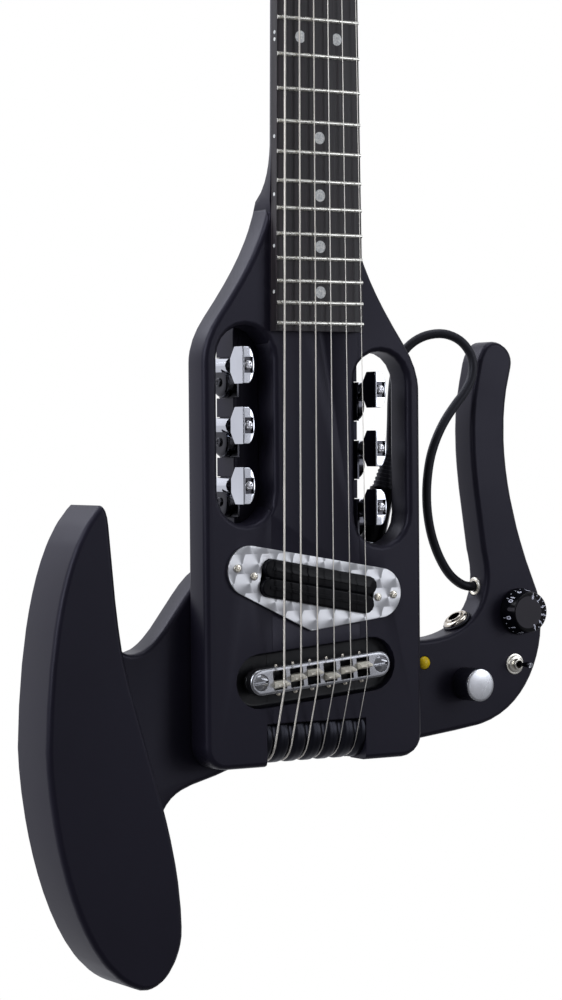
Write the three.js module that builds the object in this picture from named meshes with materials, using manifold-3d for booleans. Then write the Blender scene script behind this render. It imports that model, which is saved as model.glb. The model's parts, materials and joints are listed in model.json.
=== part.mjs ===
// Headless travel guitar with two plug-on rests. Millimetres.
// +Z runs up the neck, +X to the treble side and +Y to the back. Inside the instrument group the
// front face of the body is at Y = 0 and the nominal saddle line is at Z = 0.
import * as THREE from "three";
import { mergeVertices } from "three/addons/utils/BufferGeometryUtils.js";
import Module from "manifold-3d";

const wasm = await Module();
wasm.setup();

// Driving dimensions: scale, neck, fingerboard and headpiece
const scaleLength = 628.65;
const fretCount = 22;
const nutWidth = 42.4;
const neckWidthAtBoardEnd = 53.4;
const boardThickness = 6.35;
const boardCrown = 0.9;
const boardTail = 4.4;
const fretHeight = 1.1;
const fretWidth = 2.4;
const neckDepthAtNut = 14;
const neckDepthAtHeel = 15.5;
const neckDepthAtJoint = 19;
const headLength = 30;
const heelTop = 268;
const heelFoot = 208;
const heelOverlap = 0.6;
const trussRodRadius = 2.6;
const trussSlotDepth = 7;
const trussRodEnd = 22;
const headpieceLength = 22;
const nutThickness = 4;
const bedHeight = 4.4;
const wallHeight = 9;
const wallThickness = 5;
const wallChamfer = 2.2;

// How bowed the neck's back is along the plain neck, at its joint with the body and at the heel's foot
const neckBow = 1.25;
const jointBow = 0.12;
const heelFootBow = 0.3;
const heelOnset = 1.6;

// Driving dimensions: body
const bodyWidth = 133.4;
const bodyDepth = 36;
const restDepth = 17.7;
const bodyFoot = 52.5;
const footRadius = 12;
const edgeRadius = 3;
const restEdgeRadius = 3;
const spineWidth = 54;
const blockWidth = 73;
const blockTaperFoot = 163;
const blockTop = 212;
const blockTopWidth = 47;
const neckJointWidth = 51.9;
const shoulderTopBass = 239.7;
const shoulderTopTreble = 229;
const shoulderFootBass = 156;
const shoulderFootTreble = 141.7;
const windowWidth = 33.5;
const windowHeight = 102;
const windowInset = 24.8;
const sideStagger = 12.4;
const backMountRise = 185;

// Driving dimensions: strings, rollers and channel
const stringRadii = [0.6, 0.5, 0.4, 0.3, 0.25, 0.2];
const spreadAtNut = 36.5;
const stringHeightAtNut = 8;
const stringHeightAtBridge = 8.9;
const ballRadius = 1.9;
const ballLength = 3.4;
const wrapTurns = 2;
const rollerPitch = 10;
const rollerRadius = 14.5;
const rollerGroove = 1.6;
const rollerShoulder = 3.1;
const rollerSeam = 0.1;
const rollerDrop = 37.3;
const rollerInset = 3.5;
const axleRadius = 2;
const axleSeat = 4;
const pocketRadius = 16.1;
const pocketWidth = 61;
const channelWidth = 52;
const channelHeadroom = 12;
const channelCornerRadius = 8;
const channelRoom = 4.2;

// Driving dimensions: tuners
const tunerPitch = 31;
const tunerMiddleBass = 123.9;
const buttonOffset = 40.6;
const postInset = 11;
const wormCentreDistance = 8.5;
const gearTeeth = 14;
const gearPitchRadius = 6.2;
const gearAddendum = 0.55;
const gearDedendum = 1;
const gearThickness = 2.6;
const gearToothShare = 0.35;
const gearTipShare = 0.21;
const wormToothShare = 0.28;
const wormTipShare = 0.17;
const wormCoreRadius = 1.4;
const wormOuterRadius = 2.7;
const wormShaftRadius = 1.9;
const postRadius = 2.9;
const postWaistRadius = 2.3;
const postTip = 15.5;
const postStep = 1;
const postScrewRadius = 2.6;
const postScrewHeight = 1.6;
const captureWidth = 7;
const housingPlate = 1.1;
const housingReach = 9.2;
const bearingLength = 2.2;
const bossRadius = 4.2;
const lobeWall = 0.7;
const lobeCover = 0.9;
const lobeViewRadius = 1.8;
const buttonFront = -1;
const buttonRoom = 3.8;
const buttonHalfHeight = 9.5;
const buttonThickness = 7;
const buttonNeckRadius = 3.2;
const buttonEdge = 1;
const buttonRecessWidth = 4.6;
const buttonRecessHeight = 8;
const buttonRecessDepth = 1.4;
const buttonScrewRadius = 2.1;

// Driving dimensions: pickup and bridge
const pickupLength = 70;
const pickupWidth = 19.6;
const pickupProud = 4.4;
const pickupDepth = 13;
const pickupRise = 40;
const pickupTilt = 10.2;
const bladeWidth = 1.8;
const bladeProud = 0.5;
const bobbinEdge = 0.8;
const earLength = 15;
const earThickness = 1.6;
const ringThickness = 1.6;
const ringEnd = 41.5;
const ringRadius = 12.5;
const ringPoint = 26.5;
const ringPointShare = -0.12;
const ringTipRadius = 3;
const bridgeSpan = 74;
const bridgeEnd = 6.25;
const bridgeWidth = 13.8;
const bridgeTopProud = 5;
const bridgeThickness = 6.2;
const bridgeDrop = 5;
const bridgeTilt = 4.9;
const bridgeEdge = 1.2;
const bridgeInsertRadius = 3;
const bridgePostHeadRadius = 4.1;
const bridgeCollarRadius = 5.6;
const bridgeCollarThickness = 1.8;
const bridgePostLength = 12;
const insertRoom = 3.5;
const slotWidth = 1.1;
const slotDepth = 1.2;
const recessEnd = 12;
const recessWidth = 28.5;
const recessDepth = 6;
const saddleWidth = 7;
const saddleLength = 3.6;
const saddleSlotLength = 10;
const saddleSlotWidth = 7.8;
const notchSide = 0.7;

// Driving dimensions: rests
const armReach = 90.4;
const armHeight = 245.1;
const armFoot = 160.8;
const stemTop = 57.1;
const stemFoot = -53.4;
const lapReach = 94.5;
const lapRise = 169.5;
const pegRadius = 3;
const pegLength = 9;
const frontWall = 2.5;
const coverThickness = 2;
const coverLip = 3;

// Driving dimensions: controls
const volumeKnobRadius = 12.8;
const volumeCapRadius = 12.5;
const volumeCapTaper = 0.2;
const volumeKnobHeight = 11;
const volumeRim = 1.2;
const skirtHeight = 3.2;
const mixerKnobRadius = 9;
const mixerKnobTaper = 0.4;
const mixerKnobHeight = 14.6;
const knobEdge = 1;
const shaftRadius = 2.9;
const shaftEnd = 2.4;
const potRadius = 8;
const potBushRadius = 3.9;
const bushStandProud = 0.4;
const pcbThickness = 1.6;
const pcbInset = 2.2;
const coinRadius = 9;
const coinThickness = 3;
const coinRoom = 2;
const indicatorRadius = 3.5;
const toggleBodyWidth = 8;
const toggleBodyHeight = 12;
const toggleBushRadius = 3;
const toggleNutRadius = 5.7;
const toggleNutThickness = 1.8;
const togglePivotInset = 1;
const toggleProud = 4.5;
const leverRadius = 1.3;
const leverLength = 13.8;
const leverTilt = 9;

// Driving dimensions: output jack and link cable
const jackTilt = -35;
const jackBarrelRadius = 4.7;
const jackBoreRadius = 3.5;
const jackNutRadius = 7;
const jackNutThickness = 2.6;
const jackWasherRadius = 8.2;
const jackWasherThickness = 1.6;
const jackLength = 17;
const jackChamfer = 1;
const jackEdge = 0.6;
const linkTilt = 14;
const linkInset = 14.7;
const linkRise = 57.5;
const linkBoreLength = 36;
const padFoot = 12;
const padInnerReach = 14;
const padOuterReach = 10;
const plugRadius = 6.8;
const plugEdge = 0.8;
const plugLength = 30;
const plugTipRadius = 3.1;
const plugTipLength = 28;
const reliefLength = 20;
const reliefRibs = 5;
const reliefRib = 1.2;
const cableRadius = 2.5;
const bushRadius = 5.2;
const bushEdge = 0.8;
const bushFlange = 1.5;
const bushBarrelRadius = 3.6;
const bushLength = 9;
const bushInset = 7;

// Clearances and the fineness of the shapes
const glueGap = 0.05;
const seatGap = 0.3;
const runningGap = 0.3;
const cutOverrun = 3;
const mergeDistance = 1e-4;
const nearestPoints = 1e-3;
const straightShare = 1e-3;
const curveTolerance = 0.15;

// Shares: where pieces sit within the larger sizes
const stringCaptureShares = [0.214, 0.443, 0.6];
const saddleShares = [-0.793, -0.069, 0.345, -0.793, -0.172, 0.241];
const armPegShares = [0.3475, 0.8271];
const lapRootShares = [0.038, -0.299];
const lapPegShares = [0.87, 0.599];
const volumeShares = [0.8159, 0.1227];
const mixerShares = [0.4296, -0.1021];
const toggleShares = [0.7862, -0.0484];
const indicatorShares = [0.1471, -0.0283];
const jackShares = [0.4466, 0.0926];
const bushShares = [0.5937, 0.2053];
const coinRiseShare = -0.0472;
const spreadShare = 0.69324;
const buttonFlatShare = 0.36;
const buttonSideShares = [
  [1, 0],
  [1, 0.45],
  [0.87, 0.75],
  [0.46, 1],
];

// Derived places
const bodyHalf = bodyWidth / 2;
const spineHalf = spineWidth / 2;
const blockHalf = blockWidth / 2;
const pocketHalf = pocketWidth / 2;
const channelHalf = channelWidth / 2;
const rearFront = bodyDepth - restDepth;
const plateDepth = rearFront - seatGap;
const stringCount = stringRadii.length;
const perSide = stringCount / 2;
const postDepth = bodyDepth - postInset;
const channelFloor = postDepth - channelRoom;
const housingFront = postDepth - housingReach;
const housingBack = postDepth + housingReach;
const buttonBack = housingFront - buttonRoom;
const rollerDepth = plateDepth - rollerInset;
const tunerMiddleTreble = tunerMiddleBass - sideStagger;
const spreadAtBridge = spreadShare * bridgeSpan;
const bridgeLength = bridgeSpan + bridgeEnd * 2;
const recessLength = bridgeSpan + recessEnd * 2;
const boardEnd = fretRise(fretCount) - boardTail;
const grooveRadius = rollerRadius - rollerGroove;
const highestPost = tunerMiddleBass + tunerPitch - wormCentreDistance;
const pegDepth = (rearFront + bodyDepth) / 2;
const armPegRises = armPegShares.map((share) => mix(stemFoot, stemTop, share));
const lapRootRises = lapRootShares.map((share) => share * lapRise);
const lapPegRises = lapPegShares.map((share) => mix(lapRootRises[1], lapRootRises[0], share));
const frontFace = rearFront;
const cavityFront = rearFront + frontWall;
const coverFront = bodyDepth - coverThickness;
const pcbBack = coverFront - seatGap - coinRoom - coinThickness;
const pcbFront = pcbBack - pcbThickness;
const potHeight = pcbFront - seatGap - cavityFront;
const bushDepth = bodyDepth - bushInset;
const radians = THREE.MathUtils.degToRad;

function fretRise(n) {
  return scaleLength * 2 ** (-n / 12);
}

function mix(a, b, share) {
  return a + (b - a) * share;
}

function neckHalfAt(rise) {
  const share = (scaleLength - rise) / (scaleLength - boardEnd);
  return mix(nutWidth, neckWidthAtBoardEnd, share) / 2;
}

// A closed solid from any three.js geometry, with shared vertices merged and its faces turned outwards
function solidOf(geometry) {
  const bare = new THREE.BufferGeometry();
  bare.setAttribute("position", geometry.getAttribute("position"));
  if (geometry.index) bare.setIndex(geometry.index);
  const merged = mergeVertices(bare, mergeDistance);
  const index = merged.index.array;
  const kept = [];
  for (let i = 0; i < index.length; i += 3) {
    const [a, b, c] = [index[i], index[i + 1], index[i + 2]];
    if (a !== b && b !== c && c !== a) kept.push([a, b, c]);
  }
  const build = (faces) =>
    new wasm.Manifold(
      new wasm.Mesh({
        numProp: 3,
        vertProperties: new Float32Array(merged.attributes.position.array),
        triVerts: new Uint32Array(faces.flat()),
      }),
    );
  const solid = build(kept);
  return solid.volume() < 0 ? build(kept.map(([a, b, c]) => [c, b, a])) : solid;
}

function geometryOf(solid) {
  const mesh = solid.getMesh();
  const positions = new Float32Array(mesh.numVert * 3);
  for (let i = 0; i < mesh.numVert; i += 1) {
    positions.set(mesh.vertProperties.subarray(i * mesh.numProp, i * mesh.numProp + 3), i * 3);
  }
  const geometry = new THREE.BufferGeometry();
  geometry.setAttribute("position", new THREE.BufferAttribute(positions, 3));
  geometry.setIndex(new THREE.BufferAttribute(mesh.triVerts, 1));
  geometry.computeVertexNormals();
  return geometry;
}

function join(first, ...others) {
  return others.reduce((sum, part) => sum.add(part), first);
}

function cut(first, ...others) {
  return others.reduce((rest, part) => rest.subtract(part), first);
}

// Turns about +Y by an angle and moves, for pieces that are tilted in the plane of the body
function placed(solid, x, y, z, turnY = 0) {
  return solidOf(geometryOf(solid).rotateY(turnY).translate(x, y, z));
}

// Outline helpers: points are [x, z] pairs in the plane of the body
function arc(x, z, radius, from, to, steps) {
  const points = [];
  for (let i = 0; i <= steps; i += 1) {
    const angle = radians(mix(from, to, i / steps));
    points.push([x + radius * Math.cos(angle), z + radius * Math.sin(angle)]);
  }
  return points;
}

// Leaves out the points of a fine curve that lie within the tolerance of a straight line
function thinned(points) {
  const [start, end] = [points[0], points[points.length - 1]];
  const [dx, dz] = [end[0] - start[0], end[1] - start[1]];
  const offLine = ([x, z]) => Math.abs((x - start[0]) * dz - (z - start[1]) * dx) / Math.hypot(dx, dz);
  const distances = points.map(offLine);
  const farthest = distances.indexOf(Math.max(...distances));
  if (points.length < 3 || distances[farthest] < curveTolerance) return [start, end];
  return [...thinned(points.slice(0, farthest + 1)), ...thinned(points.slice(farthest)).slice(1)];
}

function bezier(start, handleA, handleB, end) {
  const fineSteps = 32;
  const asVector = ([x, z]) => new THREE.Vector2(x, z);
  const curve = new THREE.CubicBezierCurve(...[start, handleA, handleB, end].map(asVector));
  return thinned(curve.getPoints(fineSteps).map((point) => [point.x, point.y]));
}

// A chain of cubic curves: the table holds a start, then two handles and an end for each curve
function bezierChain(table) {
  const points = [];
  for (let i = 0; i + 3 < table.length; i += 3) {
    points.push(...bezier(table[i], table[i + 1], table[i + 2], table[i + 3]));
  }
  return points;
}

function pill(halfLength, radius, steps) {
  return [...arc(halfLength, 0, radius, -90, 90, steps), ...arc(-halfLength, 0, radius, 90, 270, steps)];
}

function rectangle(left, low, right, high) {
  return [
    [left, low],
    [right, low],
    [right, high],
    [left, high],
  ];
}

// Moves a closed ring of [x, z] points towards its left by a distance. A step of the ring that would
// turn round is dropped, and its points then meet in the corner between its neighbours.
function insetRing(ring, distance) {
  const size = ring.length;
  const lines = ring.map(([x, z], i) => {
    const [nextX, nextZ] = ring[(i + 1) % size];
    const length = Math.hypot(nextX - x, nextZ - z);
    const along = [(nextX - x) / length, (nextZ - z) / length];
    return { along, start: [x - along[1] * distance, z + along[0] * distance], used: true };
  });
  const usedFrom = (i, step) => {
    let at = (i + size) % size;
    while (!lines[at].used) at = (at + step + size) % size;
    return lines[at];
  };
  const corner = (i) => {
    const before = usedFrom(i - 1, -1);
    const after = usedFrom(i, 1);
    const cross = before.along[0] * after.along[1] - before.along[1] * after.along[0];
    const gap = [after.start[0] - before.start[0], after.start[1] - before.start[1]];
    if (Math.abs(cross) < straightShare) return after.start;
    const reach = (gap[0] * after.along[1] - gap[1] * after.along[0]) / cross;
    return [before.start[0] + before.along[0] * reach, before.start[1] + before.along[1] * reach];
  };
  let points = ring;
  let turned = [];
  do {
    points = ring.map((_, i) => corner(i));
    turned = lines.filter((line, i) => {
      const [x, z] = points[i];
      const [nextX, nextZ] = points[(i + 1) % size];
      return line.used && (nextX - x) * line.along[0] + (nextZ - z) * line.along[1] < 0;
    });
    turned.forEach((line) => {
      line.used = false;
    });
  } while (turned.length > 0);
  return points;
}

function cleanRing(points, clockwise) {
  const isNew = ([x, z], i, all) => {
    const [px, pz] = all[(i + all.length - 1) % all.length];
    return Math.hypot(x - px, z - pz) > nearestPoints;
  };
  const kept = points.filter(isNew);
  const asVectors = kept.map(([x, z]) => new THREE.Vector2(x, z));
  return THREE.ShapeUtils.isClockWise(asVectors) === clockwise ? kept : kept.reverse();
}

// A board cut to an outline in the plane of the body, from depth front to depth back, with round edges
function board(points, front, back, edge = 0, holes = [], edgeSteps = 2) {
  const contours = [cleanRing(points, false), ...holes.map((hole) => cleanRing(hole, true))];
  const levels = [];
  if (edge > 0) {
    for (let i = 0; i <= edgeSteps; i += 1) {
      const angle = (Math.PI / 2) * (i / edgeSteps);
      levels.push([edge * (1 - Math.sin(angle)), edge * (1 - Math.cos(angle))]);
    }
  } else {
    levels.push([0, 0]);
  }
  const steps = [
    ...levels.map(([inset, y]) => [inset, front + y]),
    ...levels.map(([inset, y]) => [inset, back - y]).reverse(),
  ];
  const positions = [];
  const index = [];
  const put = (x, y, z) => positions.push(x, y, z) / 3 - 1;
  const lidPoints = contours.map((ring) => cleanLid(insetRing(ring, edge)));
  contours.forEach((ring) => {
    const rows = steps.map(([inset, y]) => insetRing(ring, inset).map(([x, z]) => put(x, y, z)));
    for (let row = 0; row + 1 < rows.length; row += 1) {
      for (let i = 0; i < ring.length; i += 1) {
        const next = (i + 1) % ring.length;
        const [a, b, c, d] = [rows[row][i], rows[row][next], rows[row + 1][next], rows[row + 1][i]];
        index.push(a, b, c, a, c, d);
      }
    }
  });
  const asVectors = lidPoints.map((ring) => ring.map(([x, z]) => new THREE.Vector2(x, z)));
  const faces = THREE.ShapeUtils.triangulateShape(asVectors[0], asVectors.slice(1));
  const flat = lidPoints.flat();
  const [low, high] = [front, back].map((y) => flat.map(([x, z]) => put(x, y, z)));
  faces.forEach(([a, b, c]) => {
    index.push(low[a], low[c], low[b], high[a], high[b], high[c]);
  });
  const geometry = new THREE.BufferGeometry();
  geometry.setAttribute("position", new THREE.Float32BufferAttribute(positions, 3));
  geometry.setIndex(index);
  return solidOf(geometry);
}

function cleanLid(ring) {
  return ring.filter(([x, z], i, all) => {
    const [px, pz] = all[(i + all.length - 1) % all.length];
    return Math.hypot(x - px, z - pz) > mergeDistance;
  });
}

// A bar across the body: its outline holds [rise, height in front of the body's face] pairs
function barAcross(points, left, right, edge = 0) {
  const basis = new THREE.Matrix4().makeBasis(
    new THREE.Vector3(0, 0, 1),
    new THREE.Vector3(1, 0, 0),
    new THREE.Vector3(0, -1, 0),
  );
  return solidOf(geometryOf(board(points, left, right, edge, [], 1)).applyMatrix4(basis));
}

function block(left, front, low, right, back, high) {
  return board(rectangle(left, low, right, high), front, back);
}

// A turned piece: the profile holds [radius, along] pairs, and the axis points along +Y
function turned(profile, segments) {
  const points = profile.map(([radius, along]) => new THREE.Vector2(radius, along));
  return solidOf(new THREE.LatheGeometry(points, segments));
}

function turnedAlongX(profile, segments) {
  return solidOf(geometryOf(turned(profile, segments)).rotateZ(-Math.PI / 2));
}

function turnedAlongZ(profile, segments) {
  return solidOf(geometryOf(turned(profile, segments)).rotateX(Math.PI / 2));
}

function rodProfile(radius, from, to) {
  return [
    [0, from],
    [radius, from],
    [radius, to],
    [0, to],
  ];
}

function rodAlongX(radius, left, right, y, z, segments = 12) {
  return placed(turnedAlongX(rodProfile(radius, left, right), segments), 0, y, z);
}

function rodAlongY(radius, front, back, x, z, segments = 16) {
  return placed(turned(rodProfile(radius, front, back), segments), x, 0, z);
}

// Skins a row of rings, each with the same count of points, and closes both ends
function loft(rings) {
  const size = rings[0].length;
  const positions = rings.flat().flatMap((p) => [p.x, p.y, p.z]);
  const index = [];
  for (let r = 0; r + 1 < rings.length; r += 1) {
    for (let i = 0; i < size; i += 1) {
      const [a, b] = [r * size + i, r * size + ((i + 1) % size)];
      index.push(a, b, b + size, a, b + size, a + size);
    }
  }
  const last = (rings.length - 1) * size;
  for (let i = 1; i + 1 < size; i += 1) {
    index.push(0, i + 1, i, last, last + i, last + i + 1);
  }
  const geometry = new THREE.BufferGeometry();
  geometry.setAttribute("position", new THREE.Float32BufferAttribute(positions, 3));
  geometry.setIndex(index);
  return solidOf(geometry);
}

// A round tube through a list of points, its rings carried along without twist
function sweep(points, radius, sides) {
  const tangents = points.map((point, i) => {
    const before = points[Math.max(i - 1, 0)];
    const after = points[Math.min(i + 1, points.length - 1)];
    return after.clone().sub(before).normalize();
  });
  let normal = new THREE.Vector3(1, 0, 0);
  const rings = points.map((point, i) => {
    normal = normal.clone().addScaledVector(tangents[i], -normal.dot(tangents[i])).normalize();
    const side = tangents[i].clone().cross(normal);
    return Array.from({ length: sides }, (_, k) => {
      const angle = (2 * Math.PI * k) / sides;
      return point
        .clone()
        .addScaledVector(normal, radius * Math.cos(angle))
        .addScaledVector(side, radius * Math.sin(angle));
    });
  });
  return loft(rings);
}

// Materials
const colours = {
  satinBlack: [0x1b1b1f, 0.55, 0],
  darkWood: [0x2a211d, 0.6, 0],
  glossBlack: [0x0c0c0e, 0.25, 0],
  chrome: [0xd8dade, 0.12, 1],
  brass: [0xc39a4a, 0.3, 1],
  nickel: [0xcfc9b8, 0.2, 1],
  steel: [0xa9a9a6, 0.35, 1],
  swirledAluminium: [0xc4c6c8, 0.35, 1],
  rubber: [0x202022, 0.7, 0],
  circuit: [0x24402c, 0.6, 0],
};

function materialOf(name) {
  const [color, roughness, metalness] = colours[name];
  return new THREE.MeshStandardMaterial({ color, roughness, metalness });
}

const instrument = new THREE.Group();

function addPiece(name, solid, finish, parent = instrument) {
  const mesh = new THREE.Mesh(geometryOf(solid), materialOf(finish));
  mesh.name = name;
  parent.add(mesh);
  return mesh;
}

// Strings: places shared by the headpiece, bridge, rollers and tuners
function across(spread, number) {
  return mix(-spread / 2, spread / 2, (number - 1) / (stringCount - 1));
}

function rollerPlace(number) {
  return (number - (stringCount + 1) / 2) * rollerPitch;
}

// Tuners 1 to 3 sit on the bass side from the lowest up, and 6 to 4 on the treble side from the lowest up
function tunerOf(number) {
  const side = number <= perSide ? -1 : 1;
  const level = side < 0 ? number - 1 : stringCount - number;
  const middle = side < 0 ? tunerMiddleBass : tunerMiddleTreble;
  const rise = middle + (level - 1) * tunerPitch;
  const share = stringCaptureShares[perSide - 1 - level];
  return { side, rise, capture: side * (postTip + captureWidth * share) };
}

const numbers = Array.from({ length: stringCount }, (_, i) => i + 1);
const bridgeTurn = radians(-bridgeTilt);
const saddleTravel = saddleSlotLength / 2 - saddleLength / 2 - seatGap;

// Height of the bridge's centre line above the saddle line, at a place across the body
function bridgeLineAt(x) {
  return x * Math.tan(radians(bridgeTilt)) - bridgeDrop;
}

// Bass and treble shoulders, as shares of the step from neck to body side and of the shoulder's height
const shoulderShares = [
  [0, 0],
  [0.115, 0.268],
  [0.44, 0.498],
  [0.772, 0.713],
  [0.873, 0.779],
  [1, 0.88],
  [1, 1],
];

function shoulder(side, top, foot) {
  const neckHalf = neckJointWidth / 2;
  const table = shoulderShares.map(([u, v]) => [side * mix(neckHalf, bodyHalf, u), mix(top, foot, v)]);
  return bezierChain(table);
}

function windowOutline(side) {
  const middle = side < 0 ? tunerMiddleBass : tunerMiddleTreble;
  const radius = windowWidth / 2;
  const half = windowHeight / 2 - radius;
  const x = side * (windowInset + radius);
  return [...arc(x, middle + half, radius, 0, 180, 10), ...arc(x, middle - half, radius, 180, 360, 10)];
}

// The front plate of the body before it is split into the spine's strip and the two wings
function frontPlate() {
  const corner = bodyHalf - footRadius;
  const low = footRadius - bodyFoot;
  const outline = [
    ...shoulder(-1, shoulderTopBass, shoulderFootBass),
    ...arc(-corner, low, footRadius, 180, 270, 5),
    ...arc(corner, low, footRadius, 270, 360, 5),
    ...shoulder(1, shoulderTopTreble, shoulderFootTreble).reverse(),
  ];
  const windows = [windowOutline(-1), windowOutline(1)];
  return board(outline, 0, plateDepth, edgeRadius, windows);
}

// Rear half of the neck-through block, which tapers into the heel
function rearBlock() {
  const top = blockTopWidth / 2;
  const middle = mix(blockTaperFoot, blockTop, 0.5);
  const taper = (side) => {
    const [foot, head] = [side * blockHalf, side * top];
    return bezier([foot, blockTaperFoot], [foot, middle], [head, middle], [head, blockTop]);
  };
  const outline = [[-blockHalf, -bodyFoot], [blockHalf, -bodyFoot], ...taper(1), ...taper(-1).reverse()];
  return board(outline, plateDepth + glueGap, bodyDepth, edgeRadius);
}

// Neck with a bowed back, which squares off at its joint with the plate and deepens into the heel
function neckRing(rise) {
  const steps = 12;
  const joint = Math.min(Math.max((heelTop - rise) / (heelTop - shoulderTopBass), 0), 1);
  const squared = joint ** heelOnset;
  const heel = THREE.MathUtils.smoothstep(shoulderTopBass - rise, 0, shoulderTopBass - heelFoot);
  const plainDepth = mix(neckDepthAtNut, neckDepthAtHeel, (scaleLength - rise) / (scaleLength - heelTop));
  const depth = mix(mix(plainDepth, neckDepthAtJoint, joint), bodyDepth - edgeRadius / 2, heel);
  const jointHalf = mix(neckHalfAt(rise), neckJointWidth / 2 + heelOverlap, squared);
  const half = mix(jointHalf, blockTopWidth / 2, heel);
  const bow = mix(mix(neckBow, jointBow, squared), heelFootBow, heel);
  return Array.from({ length: steps + 1 }, (_, i) => {
    const angle = (Math.PI * i) / steps;
    return new THREE.Vector3(half * Math.cos(angle), depth * Math.abs(Math.sin(angle)) ** bow, rise);
  });
}

function neckSolid() {
  const jointSteps = 6;
  const heelSteps = 4;
  const rises = [scaleLength + headLength];
  for (let i = 0; i < jointSteps; i += 1) {
    rises.push(mix(heelTop, shoulderTopBass, i / jointSteps));
  }
  for (let i = 0; i <= heelSteps; i += 1) {
    rises.push(mix(shoulderTopBass, heelFoot, i / heelSteps));
  }
  return loft(rises.map(neckRing));
}

// Rounded slot behind the rollers in which the strings run up to the posts, open at the back
function channelCutter() {
  const top = highestPost + channelHeadroom;
  const inner = channelHalf - channelCornerRadius;
  const outline = [
    [-channelHalf, -bodyFoot - cutOverrun],
    [channelHalf, -bodyFoot - cutOverrun],
    ...arc(inner, top - channelCornerRadius, channelCornerRadius, 0, 90, 4),
    ...arc(-inner, top - channelCornerRadius, channelCornerRadius, 90, 180, 4),
  ];
  return board(outline, channelFloor, bodyDepth + cutOverrun);
}

// Round pocket for the rollers, open at the front and at the foot
function pocketCutter() {
  const low = -bodyFoot - cutOverrun;
  const round = rodAlongX(pocketRadius, -pocketHalf, pocketHalf, rollerDepth, -rollerDrop, 28);
  const foot = block(-pocketHalf, -cutOverrun, low, pocketHalf, bodyDepth + cutOverrun, -rollerDrop);
  return join(round, foot);
}

function bridgePlace(solid) {
  return placed(solid, 0, 0, -bridgeDrop, bridgeTurn);
}

function recessCutter() {
  const radius = recessWidth / 2;
  const floorEdge = recessDepth / 3;
  const outline = pill(recessLength / 2 - radius, radius, 10);
  return bridgePlace(board(outline, -recessDepth, recessDepth, floorEdge));
}

function insertCutters() {
  const depth = bridgePostLength + insertRoom;
  const radius = bridgeInsertRadius + runningGap;
  return [-1, 1].map((side) => bridgePlace(rodAlongY(radius, 0, depth, (side * bridgeSpan) / 2, 0)));
}

const pickupTurn = radians(pickupTilt);

function pickupPlace(solid) {
  return placed(solid, 0, 0, pickupRise, pickupTurn);
}

function pickupCutter() {
  const half = (pickupLength + earLength) / 2 + seatGap;
  const outline = rectangle(-half, -pickupWidth / 2 - seatGap, half, pickupWidth / 2 + seatGap);
  return pickupPlace(board(outline, -cutOverrun, pickupDepth + seatGap));
}

// Peg holes in the sides of the spine, at the heights of each rest's two pegs
function pegHoles() {
  const inner = blockHalf - pegLength - seatGap;
  const hole = (side, rise) => {
    const ends = [side * inner, side * (blockHalf + cutOverrun)].sort((a, b) => a - b);
    return rodAlongX(pegRadius + runningGap, ends[0], ends[1], pegDepth, rise);
  };
  return [...armPegRises.map((rise) => hole(-1, rise)), ...lapPegRises.map((rise) => hole(1, rise))];
}

function postHoles() {
  return numbers.map((number) => {
    const { side, rise } = tunerOf(number);
    const ends = [side * (channelHalf - cutOverrun), side * (blockHalf + cutOverrun)];
    ends.sort((a, b) => a - b);
    const z = rise - wormCentreDistance;
    return rodAlongX(postRadius + runningGap, ends[0], ends[1], postDepth, z);
  });
}

function trussSlot() {
  const half = trussRodRadius + runningGap;
  const low = boardEnd + trussRodEnd - seatGap;
  return block(-half, -cutOverrun, low, half, trussSlotDepth, scaleLength - seatGap);
}

// The body's three wooden pieces are split from one plate, so that their outlines meet
function makeBody() {
  const plate = frontPlate();
  const high = shoulderTopBass + cutOverrun;
  const low = -bodyFoot - cutOverrun;
  const strip = block(-spineHalf, -cutOverrun, low, spineHalf, plateDepth + cutOverrun, high);
  const pocket = pocketCutter();
  const shared = [pocket, recessCutter(), pickupCutter(), ...insertCutters()];
  const spine = cut(
    join(plate.intersect(strip), bridgeBlockJoint(), rearBlock(), neckSolid()),
    ...shared,
    channelCutter(),
    ...pegHoles(),
    ...postHoles(),
    trussSlot(),
  );
  addPiece("neck_through", spine, "satinBlack");
  const inner = spineHalf + glueGap;
  const outer = bodyHalf + cutOverrun;
  const wingOf = (side) => {
    const [left, right] = side < 0 ? [-outer, -inner] : [inner, outer];
    const region = block(left, -cutOverrun, low, right, plateDepth + cutOverrun, high);
    return cut(plate.intersect(region), ...shared, axleHole(side));
  };
  addPiece("left_wing", wingOf(-1), "satinBlack");
  addPiece("right_wing", join(wingOf(1), jackPad()).subtract(linkBore()), "satinBlack");
}

// Ties the front strip to the rear block across the glue line
function bridgeBlockJoint() {
  const half = spineHalf - edgeRadius;
  const inset = edgeRadius;
  return block(-half, edgeRadius, inset - bodyFoot, half, plateDepth + edgeRadius, blockTop - inset);
}

function axleHole(side) {
  const reach = pocketHalf + axleSeat + seatGap;
  const ends = side < 0 ? [-reach, -pocketHalf + cutOverrun] : [pocketHalf - cutOverrun, reach];
  return rodAlongX(axleRadius + runningGap, ends[0], ends[1], rollerDepth, -rollerDrop);
}

// Link jack: a tilted socket in a pad behind the treble wing, which the cable from the lap rest plugs into
const linkTurn = radians(linkTilt);
const linkSeat = new THREE.Vector3(bodyHalf - linkInset, pegDepth, linkRise);

function linkPlace(solid) {
  return placed(solid, linkSeat.x, linkSeat.y, linkSeat.z, linkTurn);
}

function jackPad() {
  const inner = linkSeat.x - padInnerReach;
  const outer = linkSeat.x + padOuterReach;
  const fall = (x) => linkSeat.z - (x - linkSeat.x) * Math.tan(linkTurn);
  const outline = [
    [inner, padFoot],
    [outer, padFoot],
    [outer, fall(outer)],
    [inner, fall(inner)],
  ];
  return board(outline, plateDepth - edgeRadius, bodyDepth, restEdgeRadius / 2);
}

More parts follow.
